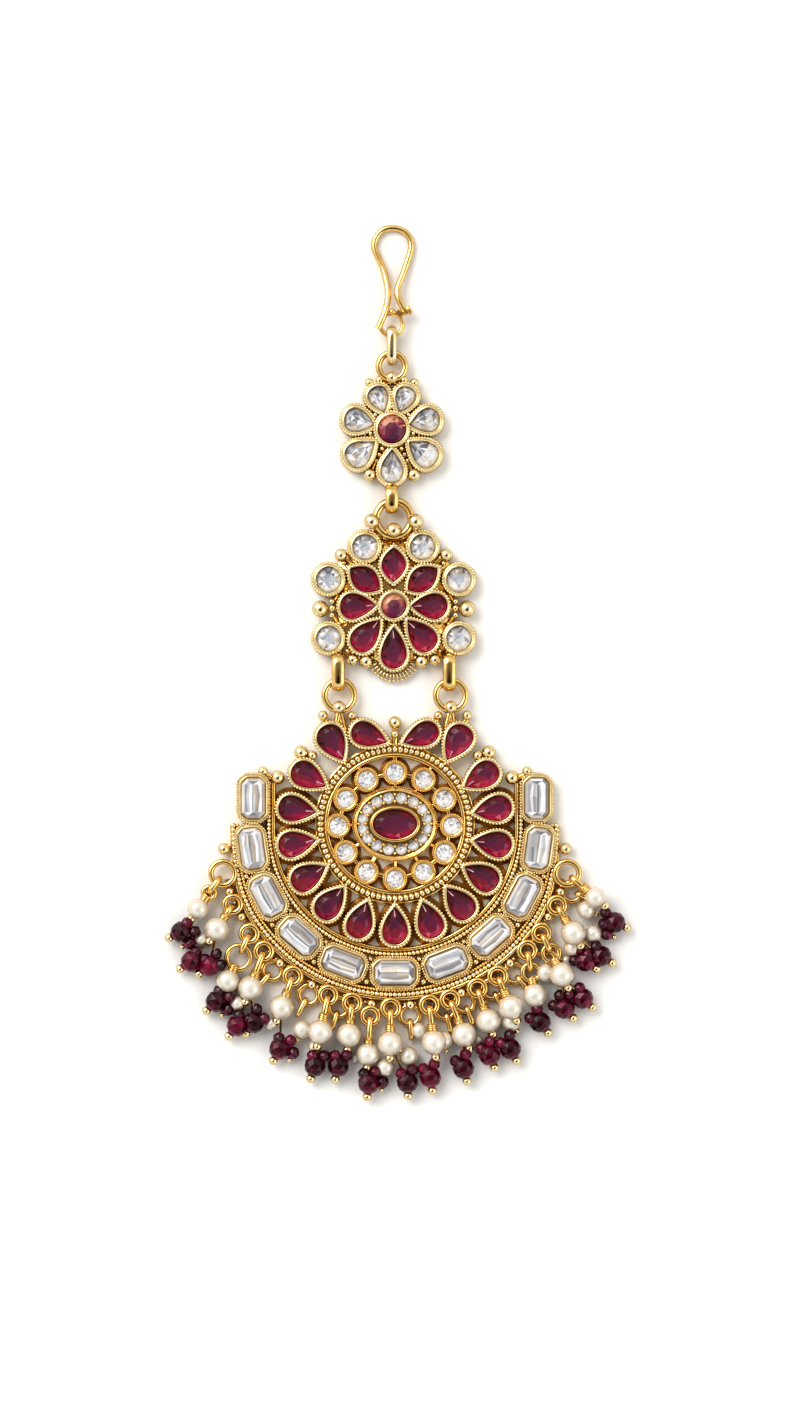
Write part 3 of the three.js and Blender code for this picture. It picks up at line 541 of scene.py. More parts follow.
def grains(paths, grain):
    """A row of grains along each path. A grain is its pitch, length, width, height, segments and rings."""
    pitch, length, width, height, segments, rings = grain
    return grown(
        GRAINS, paths, pitch=pitch * MM, length=length * MM, width=width * MM, height=height * MM,
        segments=segments, rings=rings, material=PALE_GILT,
    )


def wires(paths, radius, sides=10):
    return grown(WIRES, paths, radius=radius * MM, sides=sides, material=GILT)


def circle(x, y, radius, z, count=32):
    return at_height(oval(radius, radius, count) + (x, y), z), True


def balls(rows, segments=18, rings=12):
    """Smooth balls: x, y, z, radius."""
    work = Work()
    for x, y, z, radius in rows:
        layers = []
        for k in range(1, rings):
            t = math.pi * k / rings
            layer = oval(radius * math.sin(t), radius * math.sin(t), segments)
            layers.append(at_height(layer + (x, y), z - radius * math.cos(t)))
        work.stack(layers)
        n = len(work.points)
        work.points[n - 2] = (x, y, z - radius)
        work.points[n - 1] = (x, y, z + radius)
    return work.mesh()


# ---------------------------------------------------------------- finishes

def handled_group():
    """Fine unevenness of cast and polished work: a soft mottle and a small relief."""
    group = bpy.data.node_groups.new("handled_surface", "ShaderNodeTree")
    sockets(group, "INPUT", [("Mottle size", "Float", 900.0), ("Relief size", "Float", 2600.0)])
    sockets(group, "OUTPUT", [("Mottle", "Float"), ("Relief", "Float")])
    given = node(group, "NodeGroupInput").outputs
    where = node(group, "ShaderNodeTexCoord").outputs["Object"]
    noises = {
        label: node(group, "ShaderNodeTexNoise", {
            "Vector": where, "Scale": given[f"{label} size"], "Detail": detail,
        }).outputs["Fac"]
        for label, detail in (("Mottle", 3.0), ("Relief", 2.0))
    }
    node(group, "NodeGroupOutput", noises)
    return group


def handled(tree, **inputs):
    surface = node(tree, "ShaderNodeGroup", node_tree=HANDLED)
    feed(tree, surface, {name.replace("_", " ").capitalize(): value for name, value in inputs.items()})
    return surface.outputs


def blend_colours(tree, factor, first, second, **settings):
    """A mix of two colours; each is a socket or a fixed colour."""
    first, second = ((*c, 1.0) if isinstance(c, tuple) else c for c in (first, second))
    inputs = {"Factor": factor, 6: first, 7: second}
    return node(tree, "ShaderNodeMix", inputs, data_type="RGBA", **settings).outputs[2]


def span(tree, value, start, end, low=0.0, high=1.0):
    """A value between start and end taken to the range low to high."""
    return node(tree, "ShaderNodeMapRange", {
        "Value": value, "From Min": start, "From Max": end, "To Min": low, "To Max": high,
    }).outputs["Result"]


NOISE_MIDDLE = (0.3, 0.7)


def spread_noise(tree, noise, low, high):
    """A noise, which stays near its middle, taken to the range low to high."""
    return span(tree, noise, *NOISE_MIDDLE, low, high)


def new_finish(name):
    finish = bpy.data.materials.new(name)
    finish.use_nodes = True
    return finish, finish.node_tree, finish.node_tree.nodes["Principled BSDF"]


def gilt_finish(name, bright, mellow, recess_shade, side, rough=(0.1, 0.2)):
    """Polished gilding, mellower in patches, with painted shade that darkens the recesses and a painted
    darker reflection where it turns away.
    """
    finish, tree, shader = new_finish(name)
    surface = handled(tree)
    # Painted shade: ambient occlusion darkens the colour in the recesses.
    close = node(tree, "ShaderNodeAmbientOcclusion", {"Distance": RECESS_REACH}, samples=8)
    # Painted reflection: the colour deepens toward the edges, as dark surroundings would show there.
    slope = node(tree, "ShaderNodeLayerWeight", {"Blend": 0.5})
    patches = spread_noise(tree, surface["Mottle"], 0.0, 1.0)
    openness = span(tree, close.outputs["AO"], 0.1, 0.6)
    edge_shade = span(tree, slope.outputs["Facing"], 0.3, 0.9, 0.0, 0.85)
    colour = blend_colours(tree, patches, linear(bright), linear(mellow))
    colour = blend_colours(tree, openness, linear(recess_shade), colour)
    colour = blend_colours(tree, edge_shade, colour, linear(side))
    bump = node(tree, "ShaderNodeBump", {
        "Height": surface["Relief"], "Strength": 0.25, "Distance": 0.00004,
    })
    feed(tree, shader, {
        "Base Color": colour, "Metallic": 1.0, "Normal": bump.outputs["Normal"],
        "Roughness": spread_noise(tree, surface["Mottle"], *rough),
    })
    return finish


def stone_finish(name, ior, roughness):
    """Foil-backed cut glass: the facet tints hold painted light and painted reflections, and the gloss is in
    the shader.
    """
    finish, tree, shader = new_finish(name)
    tint = node(tree, "ShaderNodeAttribute", attribute_name="facet").outputs["Color"]
    depth = spread_noise(tree, handled(tree, mottle_size=420.0)["Mottle"], 0.0, 0.35)
    colour = blend_colours(tree, depth, tint, (0.45, 0.45, 0.5), blend_type="MULTIPLY")
    feed(tree, shader, {"Base Color": colour, "Roughness": roughness, "IOR": ior})
    return finish


def pearl_finish():
    """Ivory nacre with a painted reflection of the gold that warms its edge, and faint clouds."""
    finish, tree, shader = new_finish("nacre")
    surface = handled(tree, mottle_size=500.0)
    clouds = spread_noise(tree, surface["Mottle"], 0.0, 1.0)
    # Painted reflection: the edge turns toward a warm gold tint.
    edge = node(tree, "ShaderNodeLayerWeight", {"Blend": 0.35})
    body = blend_colours(tree, clouds, linear("e9e6db"), linear("dad6c8"))
    feed(tree, shader, {
        "Base Color": blend_colours(tree, edge.outputs["Facing"], body, linear("b98842")),
        "Roughness": spread_noise(tree, surface["Relief"], 0.16, 0.24),
        "Coat Weight": 1.0, "Coat IOR": 2.2, "Coat Roughness": 0.06, "IOR": 1.8, "Sheen Weight": 0.1,
    })
    return finish


RECESS_REACH = 0.0004  # metres; how far the painted recess shade looks for cover
HANDLED = handled_group()
GRAINS = grain_tree()
WIRES = wire_tree()
# Each gilt's last two colours are painted: the shade of its recesses and the darker reflection at its edges.
GILT = gilt_finish("warm_gilt", "f9dc9f", "eec87c", "9c6824", "ab772f")
PALE_GILT = gilt_finish("pale_gilt", "faebc4", "f1daa6", "865c24", "9c7230")
# A dark gilt for the painted shadow in the pendant's openings.
SHADOW_GILT = gilt_finish("painted_shadow_gilt", "9a7340", "7a5528", "523616", "6a4820", rough=(0.4, 0.55))
RUBY = stone_finish("ruby_glass", 1.6, 0.07)
CLEAR = stone_finish("clear_glass", 1.5, 0.05)
GARNET_GLASS = stone_finish("garnet", 1.5, 0.06)
NACRE = pearl_finish()
dice = random.Random(SEED)

# ---------------------------------------------------------------- settings and cut stones

class Setting:
    """A stone's outline with the place and turn that it is set at."""

    def __init__(self, outline, x, y, turn=0.0):
        self.outline = outline
        self.x, self.y, self.turn = x, y, turn

    def placed(self, points):
        return place(points, self.x, self.y, self.turn)

    def ring(self, distance, z):
        return at_height(self.placed(offset(self.outline, distance)), z)

    def moved(self, x, y):
        return Setting(self.outline, self.x + x, self.y + y, self.turn)

    def reshaped(self, outline):
        return Setting(outline, self.x, self.y, self.turn)

    def softened(self):
        return self.reshaped(softened(self.outline))

    def resized(self, distance):
        return self.reshaped(offset(self.outline, distance))


def round_setting(radius, x, y, count=48):
    return Setting(oval(radius, radius, count), x, y)


def pear_between(tip, rounded, width):
    tip, rounded = np.array(tip, float), np.array(rounded, float)
    away = rounded - tip
    length = np.linalg.norm(away) + width / 2
    middle = tip + away / np.linalg.norm(away) * length / 2
    return Setting(teardrop(length, width), *middle, math.atan2(away[0], -away[1]))


def radial(outline, angle, radius, x=0.0, y=0.0):
    a = math.radians(angle)
    return Setting(outline, x + radius * math.sin(a), y - radius * math.cos(a), a)


def both_sides(rows):
    return [
        pear_between((side * r["tip"][0], r["tip"][1]), (side * r["round"][0], r["round"][1]), r["width"])
        for side in (-1, 1)
        for r in rows
    ]


# Bezel sections from the bottom edge, up the outer wall, over the rim and down to the seat:
# distance from the stone's outline, height.
GRAINED_BEZEL = [
    (0.6, 0.14), (0.7, 0.26), (0.68, 1.0), (0.62, 1.75), (0.66, 2.0), (0.6, 2.2), (0.44, 2.32),
    (0.3, 2.46), (0.16, 2.52), (0.04, 2.46), (-0.05, 2.28), (-0.08, 2.05), (-0.08, 1.5),
]
BEVELLED_BEZEL = [
    (0.6, 0.14), (0.7, 0.26), (0.7, 1.0), (0.66, 1.75), (0.7, 1.96), (0.6, 2.14), (0.44, 2.26),
    (0.3, 2.46), (0.16, 2.54), (0.02, 2.42), (-0.06, 2.2), (-0.1, 1.5),
]
# Where the grains of a grained bezel run, and the grains: pitch, length, width, height, segments, rings.
GRAINED_INSET, GRAINED_Z = 0.47, 2.22
BEZEL_GRAIN = (0.52, 0.45, 0.6, 0.62, 7, 4)
LONG_GRAIN = (0.44, 0.4, 0.4, 0.54, 7, 4)
COLLET_GRAIN = (0.34, 0.34, 0.34, 0.42, 7, 4)
FRAME_GRAIN = (0.36, 0.36, 0.34, 0.44, 7, 4)
DISHED_GRAIN = (0.46, 0.42, 0.6, 0.58, 8, 5)
RIB_GRAIN = (0.52, 0.44, 1.3, 0.9, 10, 6)
RIB_END_GRAIN = (0.62, 0.54, 0.54, 0.54, 10, 6)
RING_BEAD = (0.9, 0.93, 1.2, 1.0, 12, 8)
SMOOTH_BEZEL = [
    (0.44, 0.14), (0.54, 0.26), (0.54, 2.3), (0.62, 2.6), (0.6, 2.85), (0.46, 3.04), (0.26, 3.1),
    (0.08, 3.02), (-0.04, 2.8), (-0.06, 2.2),
]
COLLET = [
    (0.46, 0.35), (0.58, 0.45), (0.6, 1.3), (0.54, 1.6), (0.56, 1.8), (0.44, 1.98), (0.3, 2.08),
    (0.18, 2.2), (0.06, 2.16), (-0.02, 1.95), (-0.04, 1.5),
]
FRAME_SECTION = [
    (-0.2, 0.0), (-0.02, 0.15), (-0.04, 1.2), (0.0, 1.4), (-0.1, 1.7), (-0.3, 1.85), (-0.5, 1.8),
    (-0.62, 1.6), (-0.66, 1.3),
]

# How the stones are cut: heights of girdle and table, size of the table, and the spread of the tints.
COLLET_CUT = {"girdle": 1.9, "table": 2.4, "share": (0.5, 0.5), "lift": 0.2, "play": 0.6, "scatter": 1.8}
PAVE_CUT = {"girdle": 1.42, "table": 1.75, "share": (0.55, 0.55), "mains": 6, "lift": 0.25, "play": 0.8}
PETAL_CUT = {
    "girdle": 1.9, "table": 2.5, "share": (0.5, 0.55), "mains": 6, "lift": 0.06, "play": 0.8, "scatter": 2.0,
}
ROUND_CUT = {
    "girdle": 1.9, "table": 2.4, "share": (0.5, 0.5), "lift": 0.1, "play": 0.8, "scatter": 2.0,
    "table_reflection": CLEAR_TABLE_REFLECTION,
}
# The play turned round: the painted light makes the eyes brighter toward the upper left.
EYE_CUT = {"share": (0.5, 0.5), "table_reflection": RUBY_TABLE_REFLECTION, "play": -1.4}
OVAL_CUT = {
    "girdle": GIRDLE_Z + OVAL_LIFT, "table": TABLE_Z + OVAL_LIFT, "share": (0.66, 0.62), "mains": 12,
    "table_reflection": RUBY_TABLE_REFLECTION, "lift": -0.14, "painted_glow": 0.04,
}

# A long stone's steps: distance from the outline, height. Its slivers, painted reflections of the pavilion:
# how far along the middle they end, how much they close in there, where they run across, and their tones.
STEPS = [(0.0, GIRDLE_Z), (-0.3, GIRDLE_Z + 0.42), (-0.6, TABLE_Z - 0.1)]
STEP_TONES = (0.2, 0.4, 0.6, 0.9)
SLIVER_END = 2.2
SLIVER_CLOSING = (0.72, 1.0, 0.72)
SLIVER_ROWS = (-1.12, -0.72, -0.4, -0.05, 0.2, 0.66, 1.12)
SLIVER_TONES = (0.2, 0.3, 0.36, 0.42, 0.55, 0.9)


def bezels(*rows):
    """Walls round settings, as one mesh: rows of (settings, section)."""
    work = Work()
    for settings, section in rows:
        for setting in settings:
            work.stack([setting.ring(distance, z) for distance, z in section])
    return work.mesh()


def facet_tint(tones, base, tilt, direction, spread):
    """Brighter toward the lower right, where the light that enters at the upper left comes out."""
    exit_side = 0.35 * direction[0] - 0.94 * direction[1]
    return ramp(tones, base + tilt * exit_side + spread * (dice.random() - 0.5))


def between(first, second, share):
    return tuple(a + (b - a) * share for a, b in zip(first, second))


def crown_rings(setting, mains, share, girdle, table, focus):
    """From the girdle up: the outline, the points between the breaks, the table's corners and its star."""
    outline, flat = setting.outline, np.array(share)
    step = len(outline) // mains
    corners = outline[step // 2::step] * flat + focus
    waist = outline[::step] * (1 + flat) / 2 + focus * 0.5
    star = corners * STAR_SIZE + focus * (1 - STAR_SIZE)
    heights = (girdle, girdle + (table - girdle) * WAIST_HEIGHT, table, table)
    return [at_height(setting.placed(ring), z) for ring, z in zip((outline, waist, corners, star), heights)]


def crown_faces(n, mains):
    """A kite below each table corner, with two break facets beside it, and the table in three rounds. Each
    row is (points, the point of the outline that the face turns to, kind of facet)."""
    waists, tops, stars, centre = n, n + mains, n + 2 * mains, n + 3 * mains
    step = n // mains
    half = step // 2
    rows = []
    for j in range(mains):
        after = (j + 1) % mains
        rim = j * step
        corner = (rim + half) % n
        for k in range(half):
            rows.append((((rim + k) % n, (rim + k + 1) % n, waists + j), rim, "left half"))
            rows.append((((rim - k - 1) % n, (rim - k) % n, waists + j), rim, "right half"))
        rows += [
            ((waists + j, corner, tops + j), corner, "left break"),
            ((corner, waists + after, tops + j), corner, "right break"),
            ((waists + after, tops + after, tops + j), (rim + step) % n, "star"),
            ((tops + j, tops + after, stars + j), corner, "outer table"),
            ((stars + j, tops + after, stars + after), corner, "inner table"),
            ((centre, stars + j, stars + after), corner, "heart"),
        ]
    glints = ((waists, tops, tops + mains - 1), (waists, half, tops))
    return rows, [i for i, (face, _, _) in enumerate(rows) if face in glints]


def cut_stone(work, setting, tones, mains=8, share=(0.5, 0.6), girdle=GIRDLE_Z, table=TABLE_Z, shift=0.0,
              table_reflection=None, glint=False, lift=0.0, play=1.0, scatter=1.0, painted_glow=0.12):
    """A faceted crown. The table shows a painted reflection of the pavilion, under a further painted
    reflection (colour, share) if it has one. A ruby's lower left facets take a painted glow."""
    focus = np.array([0.0, shift])
    rings = crown_rings(setting, mains, share, girdle, table, focus)
    middle = setting.placed(focus[None])[0]
    points = np.concatenate([*rings, [(*middle, table)]])
    rows, glints = crown_faces(len(rings[0]), mains)

    def tint_of(index, facet):
        away = points[index, :2] - middle
        away /= max(np.linalg.norm(away), 1e-6)
        glows = tones is RUBY_TONES and away @ GLOW_SIDE > GLOW_FROM
        base, tilt, spread = FACET_PLAY[facet]
        tint = facet_tint(tones, base + lift, tilt * play, away, spread * scatter)
        if tones is CLEAR_TONES and dice.random() < GILT_REFLECTION_CHANCE:
            tint = between(tint, GILT_REFLECTION, 0.45)
        else:
            warm = (painted_glow if glows else GLOW_ELSEWHERE) + dice.uniform(-0.08, 0.08)
            tint = between(tint, PAINTED_GLOW, max(warm, 0)) if tones is RUBY_TONES else tint
        if facet in TABLE_FACETS:
            tint = between(tint, *table_reflection) if table_reflection else tint
            tint = between(tint, PAINTED_GLOW, painted_glow) if glows else tint
        return tint

    tints = [tint_of(index, facet) for _, index, facet in rows]
    # Painted highlight on the glint facets.
    if glint:
        for i in glints:
            tints[i] = GLINT
    work.add(points, [face for face, _, _ in rows], tints)
    close_below(work, rings[0], ramp(tones, 0.1))


def close_below(work, rim, tint, drop=0.5):
    """The hidden part of a stone under its girdle."""
    n = len(rim)
    floor = rim - (0, 0, drop)
    points = np.concatenate([rim, floor, [floor.mean(0)]])
    sides = [(n + i, n + (i + 1) % n, (i + 1) % n, i) for i in range(n)]
    base = [(2 * n, n + (i + 1) % n, n + i) for i in range(n)]
    work.add(points, sides + base, [tint] * (2 * n))


def step_stone(work, setting):
    """A long clear stone: two steps round it, with a painted reflection of the gilt strongest on the outer
    step, and under the table the pavilion's long slivers, painted as reflections, which close in toward both
    ends."""
    rings = [at_height(setting.placed(offset(setting.outline, d)), z) for d, z in STEPS]
    n, tall = len(rings[0]), len(SLIVER_ROWS)
    columns = (-SLIVER_END, dice.uniform(-0.6, 0.6), SLIVER_END)
    grid = np.array([(x, y * close) for x, close in zip(columns, SLIVER_CLOSING) for y in SLIVER_ROWS])
    points = np.concatenate([*rings, at_height(setting.placed(grid), STEPS[-1][1])])
    faces, tints = [], []
    for layer in (0, 1):
        for i in range(n):
            j = (i + 1) % n
            low, high = layer * n, layer * n + n
            faces.append((low + i, low + j, high + j, high + i))
            shade = ramp(CLEAR_TONES, dice.choice(STEP_TONES))
            tints.append(between(shade, GILT_REFLECTION, dice.choice((0.25, 0.7)) if layer == 0 else 0.12))
    cell = [[3 * n + column * tall + row for row in range(tall)] for column in range(len(columns))]
    streaks = list(SLIVER_TONES)
    dice.shuffle(streaks)
    for left, right in zip(cell, cell[1:]):
        for row, base in enumerate(streaks):
            faces.append((left[row], right[row], right[row + 1], left[row + 1]))
            shade = ramp(CLEAR_TONES, base + dice.uniform(-0.08, 0.08))
            tints.append(between(shade, GILT_REFLECTION, dice.choice((0.0, 0.1, 0.35))))
    for face, base in sliver_border([2 * n + i for i in range(n)], cell):
        faces.append(face)
        tints.append(ramp(CLEAR_TONES, base + 0.2 * (dice.random() - 0.5)))
    work.add(points, faces, tints)
    close_below(work, rings[0], ramp(CLEAR_TONES, 0.2))


def sliver_border(top, cell):
    """The table between its eight corners and the slivers: points, tone."""
    first, last = cell[0], cell[-1]
    middle = len(first) // 2
    return [
        ((top[1], top[2], *(column[-1] for column in cell)), 0.4),
        ((top[5], top[6], *(column[0] for column in reversed(cell))), 0.6),
        ((top[2], top[3], *first[middle:]), 0.7), ((top[3], top[4], first[middle]), 0.2),
        ((top[4], top[5], *first[:middle + 1]), 0.4),
        ((top[6], top[7], *reversed(last[:middle + 1])), 0.65), ((top[7], top[0], last[middle]), 0.2),
        ((top[0], top[1], *reversed(last[middle:])), 0.36),
    ]


# ---------------------------------------------------------------- the pendant

OVAL = Setting(oval(OVAL_STONE["length"] / 2, OVAL_STONE["width"] / 2, 48), 0, 0)
collets = [
    round_setting(
        COLLETS["stone"],
        COLLETS["ellipse"][0] * math.sin(a),
        MEDALLION["middle_y"] - COLLETS["ellipse"][1] * math.cos(a),
        32,
    )
    for a in (2 * math.pi * i / COLLETS["count"] for i in range(COLLETS["count"]))
]
pears = [
    radial(teardrop(PEAR["length"], PEAR["width"]), angle, PEAR["ring"], 0, PEAR["middle_y"])
    for angle in range(-PEAR["last"], PEAR["last"] + 1, PEAR["step"])
] + both_sides(TOP_PEARS)
long_outline = cut_corner_box(LONG_STONE["length"], LONG_STONE["width"], LONG_STONE["corner"])
long_stones = [
    Setting(long_outline, *rim_point(angle, LONG_STONE["ring"]), math.radians(angle))
    for angle in LONG_STONE_ANGLES
] + [
    Setting(long_outline, side * LONG_STONE["upright"][0], LONG_STONE["upright"][1], math.pi / 2)
    for side in (-1, 1)
]
pave = [
    round_setting(PAVE["radius"], PAVE["ellipse"][0] * math.cos(a), PAVE["ellipse"][1] * math.sin(a), 24)
    for a in (2 * math.pi * (i + 0.5) / PAVE["count"] for i in range(PAVE["count"]))
]


def arc(radius, last, count=120, draw_in=0.0):
    """An arc about the rim's centre, drawn in toward both ends."""
    points = []
    for i in range(count):
        angle = -last + 2 * last * i / (count - 1)
        ease = min(max((abs(angle) - DRAWN_IN["from"]) / DRAWN_IN["over"], 0), 1)
        points.append(rim_point(angle, radius - draw_in * ease * ease * (3 - 2 * ease)))
    return np.array(points)


def outer_arc(shift=0.0, draw_in=0.75):
    return arc(OUTER_RAIL["radius"] + shift, OUTER_RAIL["last"], draw_in=draw_in)


def band(work, path, section, closed):
    """A band of metal along a flat path; the section is (distance to the outer side, height)."""
    before, after = np.roll(path, 1, 0), np.roll(path, -1, 0)
    if not closed:
        before[0], after[-1] = path[0], path[-1]
    along = after - before
    along /= np.linalg.norm(along, axis=1)[:, None]
    outer = np.stack([along[:, 1], -along[:, 0]], 1)
    rings = []
    for point, side in zip(path, outer):
        rings.append(np.array([(*(point + side * d), z) for d, z in section]))
    work.stack(rings, closed)


def band_section(half, low, high, soft=0.12):
    """A flat band with softened upper edges, clockwise seen along the path."""
    return [
        (-half, low), (-half, high - soft), (soft - half, high), (half - soft, high),
        (half, high - soft), (half, low),
    ]


def inner_rail_path(shift=0.0):
    radius = INNER_RAIL["radius"] + shift
    rise = [(-radius, y) for y in np.linspace(INNER_RAIL["top"], RIM_Y + 0.4, 12)]
    curve = arc(radius, 90, 110)
    fall = [(-x, y) for x, y in reversed(rise)]
    return np.concatenate([rise, curve, fall])


def short_wire(start, end, z):
    return np.array([(*start, z), (*end, z)]), False


def both_wires(rows, x=0.0, y=0.0):
    """Short wires on the right, from, to and height about a middle, and their mirror images."""
    return [
        short_wire((x + side * start[0], y + start[1]), (x + side * end[0], y + end[1]), z)
        for side in (-1, 1)
        for start, end, z in rows
    ]


def shadow_flanges():
    """Broad dark flanges round the settings, a painted shadow that darkens the openings between them, every
    other one a little higher. The pears at both ends of their ring, and the four above, have none."""
    rows = []
    ring_pears = pears[:-2 * len(TOP_PEARS)]
    for settings, reach in ((ring_pears[1:-1], SHADOW_FLANGE["pears"]), (collets, SHADOW_FLANGE["collets"])):
        for i, setting in enumerate(settings):
            low = SHADOW_FLANGE["low"] + SHADOW_FLANGE["higher"] * (i % 2)
            rows.append(([setting], [
                (0.1, low), (reach - 0.05, low), (reach, low + 0.08), (reach - 0.2, low + 0.2), (0.1, 0.36),
            ]))
    return bezels(*rows)


def pendant_rails():
    work = Work()
    beds = [
        (INNER_RAIL, inner_rail_path(), {}), (OUTER_RAIL, outer_arc(0, 1.15), {}),
        (STONE_BED, arc(LONG_STONE["ring"], STONE_BED["last"]), {}),
        (SKIRT, arc(SKIRT["radius"], SKIRT["last"]), {"soft": 0.3}),
    ]
    for bed, path, edge in beds:
        band(work, path, band_section(bed["half"], *bed["z"], **edge), False)
    bed = BEAD_BED
    band(work, oval(bed["radius"], bed["radius"], 96), band_section(bed["half"], *bed["z"]), True)
    return work.mesh()


def medallion_metal():
    frame_outline = Setting(oval(*OVAL_FRAME["outer"], 72), 0, 0)
    return bezels((collets, COLLET), ([OVAL], SMOOTH_BEZEL), ([frame_outline], FRAME_SECTION))


def pear_shift(setting):
    """A pear's table sits toward its round end."""
    return -0.05 * (setting.outline[:, 1].max() - setting.outline[:, 1].min())


def numbered(name, i):
    return f"{name}_{i + 1:02d}"


def grained_rows(settings, rise=0.0):
    return grains([(s.ring(GRAINED_INSET, GRAINED_Z + rise), True) for s in settings], BEZEL_GRAIN)


def bead_row(path, radius, pitch, z=1.5):
    size = 2 * radius
    return grains([(at_height(path, z), False)], (pitch, size, size, size, 10, 7))


def pendant_grains():
    long_rows = [(s.softened().ring(0.58, 2.1), True) for s in long_stones]
    made = [grained_rows(pears), grains(long_rows, LONG_GRAIN)]
    shift, radius, pitch = INNER_RAIL["beads"]
    made.append(bead_row(inner_rail_path(shift), radius, pitch))
    shift, radius, pitch = OUTER_RAIL["beads"]
    made.append(bead_row(outer_arc(shift), radius, pitch))
    return made


def pendant_ropes():
    shift, radius, pitch = OUTER_RAIL["rope"]
    inner_shift, inner_radius = INNER_RAIL["wire"]
    outer_shift, outer_radius = OUTER_RAIL["wire"]
    return [
        bead_row(outer_arc(shift), radius, pitch, 1.4),
        wires([(at_height(inner_rail_path(inner_shift), 1.4), False)], inner_radius),
        wires([(at_height(outer_arc(outer_shift, 1.4), 1.35), False)], outer_radius),
    ]


def medallion_grains():
    outer_x, outer_y = OVAL_FRAME["outer"]
    edge = at_height(oval(outer_x - 0.06, outer_y - 0.06, 96), 1.5)
    made = [
        grains([(s.ring(0.46, 1.9), True) for s in collets], COLLET_GRAIN),
        grains([(edge, True)], FRAME_GRAIN),
    ]
    prongs = []
    for i in range(PAVE["count"]):
        a = 2 * math.pi * i / PAVE["count"]
        for inset in (-PRONG["inset"], PRONG["inset"]):
            x, y = (PAVE["ellipse"][0] + inset) * math.cos(a), (PAVE["ellipse"][1] + inset) * math.sin(a)
            prongs.append((x, y, PRONG["z"], PRONG["radius"]))
    made.append(balls(prongs, 10, 6))
    return made


def medallion_wires():
    made = [
        wires([circle(0, 0, MEDALLION[which], z, 96)], radius, sides)
        for which, z, radius, sides in MEDALLION_WIRES
    ]
    inner_x, inner_y = (half + INNER_WIRE["out"] for half in OVAL_FRAME["inner"])
    made.append(wires([(at_height(oval(inner_x, inner_y, 72), INNER_WIRE["z"]), True)], *INNER_WIRE["wire"]))
    struts = []
    strut = MEDALLION_STRUT
    for setting, after in zip(collets, collets[1:] + collets[:1]):
        here = np.array([setting.x, setting.y])
        out = here / np.linalg.norm(here)
        struts.append(short_wire(here, (after.x, after.y), strut["z"]))
        struts.append(short_wire(here, out * MEDALLION["band"], strut["z"]))
        struts.append(short_wire(here, out * strut["inner_end"], strut["inner_z"]))
    made.append(wires(struts, *strut["wire"]))
    return made


def loop_radius(row):
    return LOOP["side_radius"] if abs(row["loop"][0]) > 75 else LOOP["radius"]


def pendant_rings():
    ring = SHOULDER_RING
    shoulders = [circle(side * ring["x"], ring["y"], ring["radius"], RING_Z, 48) for side in (-1, 1)]
    loops = [circle(*rim_point(*row["loop"]), loop_radius(row), RING_Z, 28) for row in STRANDS]
    struts = both_wires(PENDANT_STRUTS)
    struts.append(short_wire(*CREST_STRUT))
    for first, second in zip(long_stones[:-3], long_stones[1:-2]):
        struts.append(short_wire((first.x, first.y), (second.x, second.y), 0.9))
    return [wires(shoulders, ring["wire"], 16), wires(loops, LOOP["wire"], 12), wires(struts, *PENDANT_STRUT)]


def pendant_balls():
    rows = [
        (x, y, RING_BALL_Z if y > 18 else max(1.3, r + 0.1), r)
        for x, y, r in mirrored(EDGE_BALLS) + CREST_BALLS
    ]
    grain, fine = RIM_GRANULE, FINE_GRANULE
    rows += [(*rim_point(angle, grain["distance"]), grain["z"], grain["radius"]) for angle in RIM_GRANULES]
    rows += [
        (*rim_point(angle, fine["distance"]), fine["z"], fine["radius"])
        for angle in np.arange(-fine["last"], fine["last"] + 0.5, fine["step"])
    ]
    for low, high in zip(LONG_STONE_ANGLES, LONG_STONE_ANGLES[1:]):
        rows += [(*rim_point((low + high) / 2, distance), 1.3, r) for distance, r in STONE_GRANULES]
    return balls(rows)


pendant = [pendant_rails(), *pendant_ropes(), *pendant_rings()]
ring_beads = grains([circle(0, 0, MEDALLION["beads"], 1.52, 96)], RING_BEAD)
metal_piece("pendant_frame_gilt", pendant, GILT, ["pendant_frame"], crease=40)
metal_piece("pendant_balls", [pendant_balls()], PALE_GILT)
# Painted shadow: dark flanges that darken the openings between the settings.
metal_piece("pendant_shadow_flanges", [shadow_flanges()], SHADOW_GILT)
pendant_walls = bezels((pears, GRAINED_BEZEL), ([s.softened() for s in long_stones], BEVELLED_BEZEL))
metal_piece("pendant_bezels", [pendant_walls], PALE_GILT, crease=50)
metal_piece("pendant_beadwork", pendant_grains(), PALE_GILT, crease=60)
metal_piece("medallion_gilt", [medallion_metal(), *medallion_wires()], GILT)
metal_piece("medallion_beadwork", medallion_grains(), GILT, crease=60)
metal_piece("medallion_bead_ring", [ring_beads], PALE_GILT, crease=60)


def own_pieces(look, solid, settings, cut, finish):
    """Every stone as a piece of its own, in the place of its own solid."""
    for i, setting in enumerate(settings):
        work = Work()
        cut(work, setting)
        piece(numbered(look, i), work.mesh(), finish, [numbered(solid, i)])


def crystals(name, *rows):
    """Small clear stones as one piece: rows of (settings, how they are cut)."""
    work = Work()
    for settings, how in rows:
        for setting in settings:
            cut_stone(work, setting, CLEAR_TONES, **how)
    piece(name, work.mesh(), CLEAR)


def pear_ruby(work, setting):
    cut_stone(
        work, setting, RUBY_TONES, shift=pear_shift(setting), table_reflection=RUBY_TABLE_REFLECTION, glint=True, scatter=0.7,
        lift=dice.uniform(-0.2, 0.04), painted_glow=dice.choice((0.03, 0.12, 0.28)),
    )


